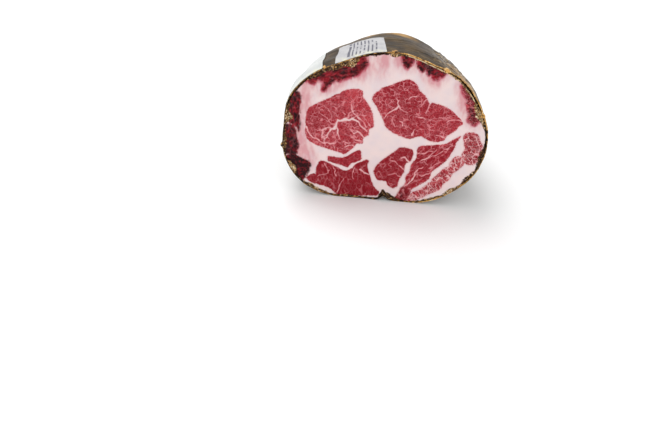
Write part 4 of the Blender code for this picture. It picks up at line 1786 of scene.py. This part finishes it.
@dataclass
class Crumbs:
    """Grains of spice and dried fat that stick out of the crust along the cut's rim.

    Attributes:
        meat: what they stick to.
        finish: their material.
        seed: which random numbers they are drawn with.
        places: where along the rim they gather, with how many grains.
        narrowest_crust_mm: they spread at least this far in from the rim.
        past_rim_mm: how far outside the meat's rim the outermost lie.
        smallest_mm: the smallest grain's radius.
        largest_mm: the largest grain's radius.
    """

    meat: Meat
    finish: CrumbFinish
    seed: int = 7
    places: tuple[Stretch, ...] = (
        Stretch(114.5, 5.0, 190.0), Stretch(125.0, 9.0, 190.0), Stretch(138.0, 7.0, 70.0),
        Stretch(173.5, 4.5, 210.0), Stretch(191.0, 7.0, 90.0), Stretch(207.0, 4.0, 160.0),
        Stretch(226.0, 8.0, 120.0), Stretch(252.0, 12.0, 120.0), Stretch(277.5, 5.0, 170.0),
        Stretch(304.0, 9.0, 70.0), Stretch(320.5, 5.0, 170.0), Stretch(345.0, 12.0, 120.0),
        Stretch(17.0, 6.5, 220.0), Stretch(45.0, 14.0, 80.0), Stretch(84.0, 4.0, 90.0),
    )
    narrowest_crust_mm: float = 0.6
    past_rim_mm: float = 0.35
    smallest_mm: float = 0.13
    largest_mm: float = 0.55

    def build(self) -> bpy.types.Object:
        """Makes every grain at once: a small ball, stretched, turned and dented by its own random numbers.

        Returns:
            The piece.
        """
        draw = np.random.default_rng(self.seed)
        angle = np.concatenate([
            np.radians(draw.normal(place.middle, place.half_width * 0.6, int(place.strength)))
            for place in self.places
        ])
        count = len(angle)
        width_mm = np.maximum(along_rim(angle, CRUST_WIDTHS_MM), self.narrowest_crust_mm)
        inset = self.meat.inset(angle, 0.0) + MM * (draw.random(count) ** 1.5 * width_mm - self.past_rim_mm)
        size = MM * (self.smallest_mm + (self.largest_mm - self.smallest_mm) * draw.random(count) ** 2.2)
        place = self.meat.roll.point(angle, np.zeros(count), inset)
        place[:, 1] -= size * 0.25
        place[:, 2] = np.maximum(place[:, 2], size)
        ball = bmesh.new()
        bmesh.ops.create_icosphere(ball, subdivisions=1, radius=1.0)
        shape = np.array([vertex.co[:] for vertex in ball.verts])
        faces = np.array([[vertex.index for vertex in face.verts] for face in ball.faces])
        ball.free()
        stretch = 0.45 + 1.1 * draw.random((count, 1, 3))
        turn = np.linalg.qr(draw.normal(size=(count, 3, 3)))[0]
        dents = 1.0 + 0.28 * draw.normal(size=(count, len(shape), 1)).clip(-1.5, 1.5)
        points = np.einsum("nij,nvj->nvi", turn, shape[None] * stretch * dents) * size[:, None, None]
        points += place[:, None, :]
        points[..., 2] -= np.minimum(points[..., 2].min(axis=1, keepdims=True), 0.0)
        tone = np.clip(Meat.pale_crust(angle) + 0.35 * draw.normal(size=count) - 0.15, 0.0, 1.0)

        skin = Skin()
        numbers = skin.place(points, tone=np.repeat(tone[:, None], len(shape), axis=1))
        skin.faces += numbers[:, faces].reshape(-1, 3).tolist()
        return skin.finish("crust_grains", self.finish.dress(), crease_degrees=70.0)


@dataclass(frozen=True)
class Studio:
    """The pale floor, the soft light and the camera, which stands as the photograph's did.

    Attributes:
        cut_y: where the cut is.
        picture_width: in pixels.
        focal_pixels: the lens's focal length, in pixels of the picture.
        sensor_mm: the width of the sensor that the lens is given for.
        tilt_degrees: how far the camera looks down.
        heading_degrees: how far it is turned from +Y towards -X.
        camera_x: where it stands, to the side.
        camera_back: how far it stands in front of the cut.
        camera_height: how high it stands.
        aim_height: the height on the cut that the lights look at.
        floor_size: the floor's width.
        world_strength: how bright the room is.
        floor_colour: the floor's colour.
    """

    cut_y: float
    picture_width: float = 650.0
    focal_pixels: float = 720.0
    sensor_mm: float = 36.0
    tilt_degrees: float = 34.5
    heading_degrees: float = 10.0
    camera_x: float = 0.03446
    camera_back: float = 0.40314
    camera_height: float = 0.26304
    aim_height: float = 0.05
    floor_size: float = 30.0
    world_strength: float = 0.8
    floor_colour: Colour = tint(246, 246, 246)

    def build(self) -> None:
        """Sets up the stage."""
        self.floor()
        self.light("overhead", (-0.35, 0.30, 1.10), 0.8, 8.0)
        self.light("front", (0.25, -1.20, 0.45), 0.9, 2.5)
        self.world()
        self.camera()

    def floor(self) -> None:
        """A wide pale plane under the object."""
        half = self.floor_size / 2.0
        mesh = bpy.data.meshes.new("floor")
        corners = [(-half, -half, 0.0), (half, -half, 0.0), (half, half, 0.0), (-half, half, 0.0)]
        mesh.from_pydata(corners, [], [(0, 1, 2, 3)])
        material = bpy.data.materials.new("pale_floor")
        material.use_nodes = True
        shader = material.node_tree.nodes["Principled BSDF"]
        shader.inputs["Base Color"].default_value = self.floor_colour
        shader.inputs["Roughness"].default_value = 0.7
        shader.inputs["Specular IOR Level"].default_value = 0.2
        mesh.materials.append(material)
        floor = bpy.data.objects.new("floor", mesh)
        bpy.context.collection.objects.link(floor)

    def light(self, name: str, place: tuple[float, float, float], size: float, power: float) -> None:
        """A square soft light that looks at the middle of the cut.

        Args:
            name: the light's name.
            place: where it hangs.
            size: its width.
            power: in watts.
        """
        lamp = bpy.data.lights.new(name, "AREA")
        lamp.shape = "SQUARE"
        lamp.size = size
        lamp.energy = power
        holder = bpy.data.objects.new(name, lamp)
        bpy.context.collection.objects.link(holder)
        holder.location = place
        sight = Vector((0.0, self.cut_y, self.aim_height)) - holder.location
        holder.rotation_euler = sight.to_track_quat("-Z", "Y").to_euler()

    def world(self) -> None:
        """Even white light from all round."""
        world = bpy.data.worlds.new("white_room")
        world.use_nodes = True
        background = world.node_tree.nodes["Background"]
        background.inputs["Color"].default_value = (1.0, 1.0, 1.0, 1.0)
        background.inputs["Strength"].default_value = self.world_strength
        bpy.context.scene.world = world
        bpy.context.scene.view_settings.view_transform = "Standard"

    def camera(self) -> None:
        """The camera: looking down by the tilt, and turned from +Y towards -X by the heading."""
        data = bpy.data.cameras.new("camera")
        data.sensor_width = self.sensor_mm
        data.lens = self.focal_pixels / self.picture_width * data.sensor_width
        data.clip_start = 0.01
        data.clip_end = 100.0
        holder = bpy.data.objects.new("camera", data)
        bpy.context.collection.objects.link(holder)
        holder.location = (self.camera_x, self.cut_y - self.camera_back, self.camera_height)
        tilt, heading = math.radians(90.0 - self.tilt_degrees), math.radians(self.heading_degrees)
        holder.rotation_euler = (tilt, 0.0, heading)
        bpy.context.scene.camera = holder


def fitted_roll() -> Roll:
    """Shifts the roll's formula so that its cut lies where the frame's meat has it.

    The CAD meat lies a gap inside the outside of the wrapper, wider where the wrapper is loose.

    Returns:
        The roll.
    """
    solid_gap, solid_loose_edge = 0.0016, Stretch(35.0, 38.0, 0.0011)
    angle = np.linspace(0.0, TURN, 721)
    outline = Roll().point(angle, 0.0, solid_gap + solid_loose_edge.at(angle))
    low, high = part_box("meat")
    side = (low.x + high.x) / 2.0 - (outline[:, 0].min() + outline[:, 0].max()) / 2.0
    return Roll(shift=(side, low.y, 0.0))


def attach(piece: bpy.types.Object, slot_name: str, *nodes: str) -> None:
    """Makes a piece part of the object, and reports it.

    Args:
        piece: the piece.
        slot_name: the name of a material slot in the record; not used.
        *nodes: the CAD nodes that it stands for.
    """
    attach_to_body(piece, "root")
    if nodes:
        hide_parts(*nodes)
    log.info("%s: %d faces", piece.name, len(piece.data.polygons))


def main() -> None:
    """Builds every piece round the frame and sets up the stage."""
    logging.basicConfig(level=logging.INFO, format="%(name)s: %(message)s")
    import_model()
    roll = fitted_roll()
    bare_paper = PaperFinish(Print.BARE, white=tint(210, 212, 210), shaded=tint(196, 199, 198))
    labels = [
        Label(
            "label_with_bars", "label_printed", PaperFinish(Print.GREY_BARS), right_degrees=89.4,
            left_degrees=124.0, slant_degrees=-2.6, depth_mm=23.0, left_depth_mm=34.0,
        ),
        Label(
            "label_bare", "label_plain", bare_paper, right_degrees=132.2,
            left_degrees=168.5, slant_degrees=-3.6, depth_mm=40.5, left_depth_mm=40.5,
        ),
    ]
    wrapper = Wrapper(roll, FilmFinish(), labels=labels)
    meat = Meat(roll, MarbledMeat())
    attach(meat.build(), "cured_meat", "meat")
    attach(wrapper.build(), "wrapper_film", "wrapper")
    for label in labels:
        attach(label.build(wrapper), "label_paper", label.node)
    attach(Crumbs(meat, CrumbFinish()).build(), "cured_meat")
    Studio(cut_y=roll.shift[1]).build()


if __name__ == "__main__":
    main()
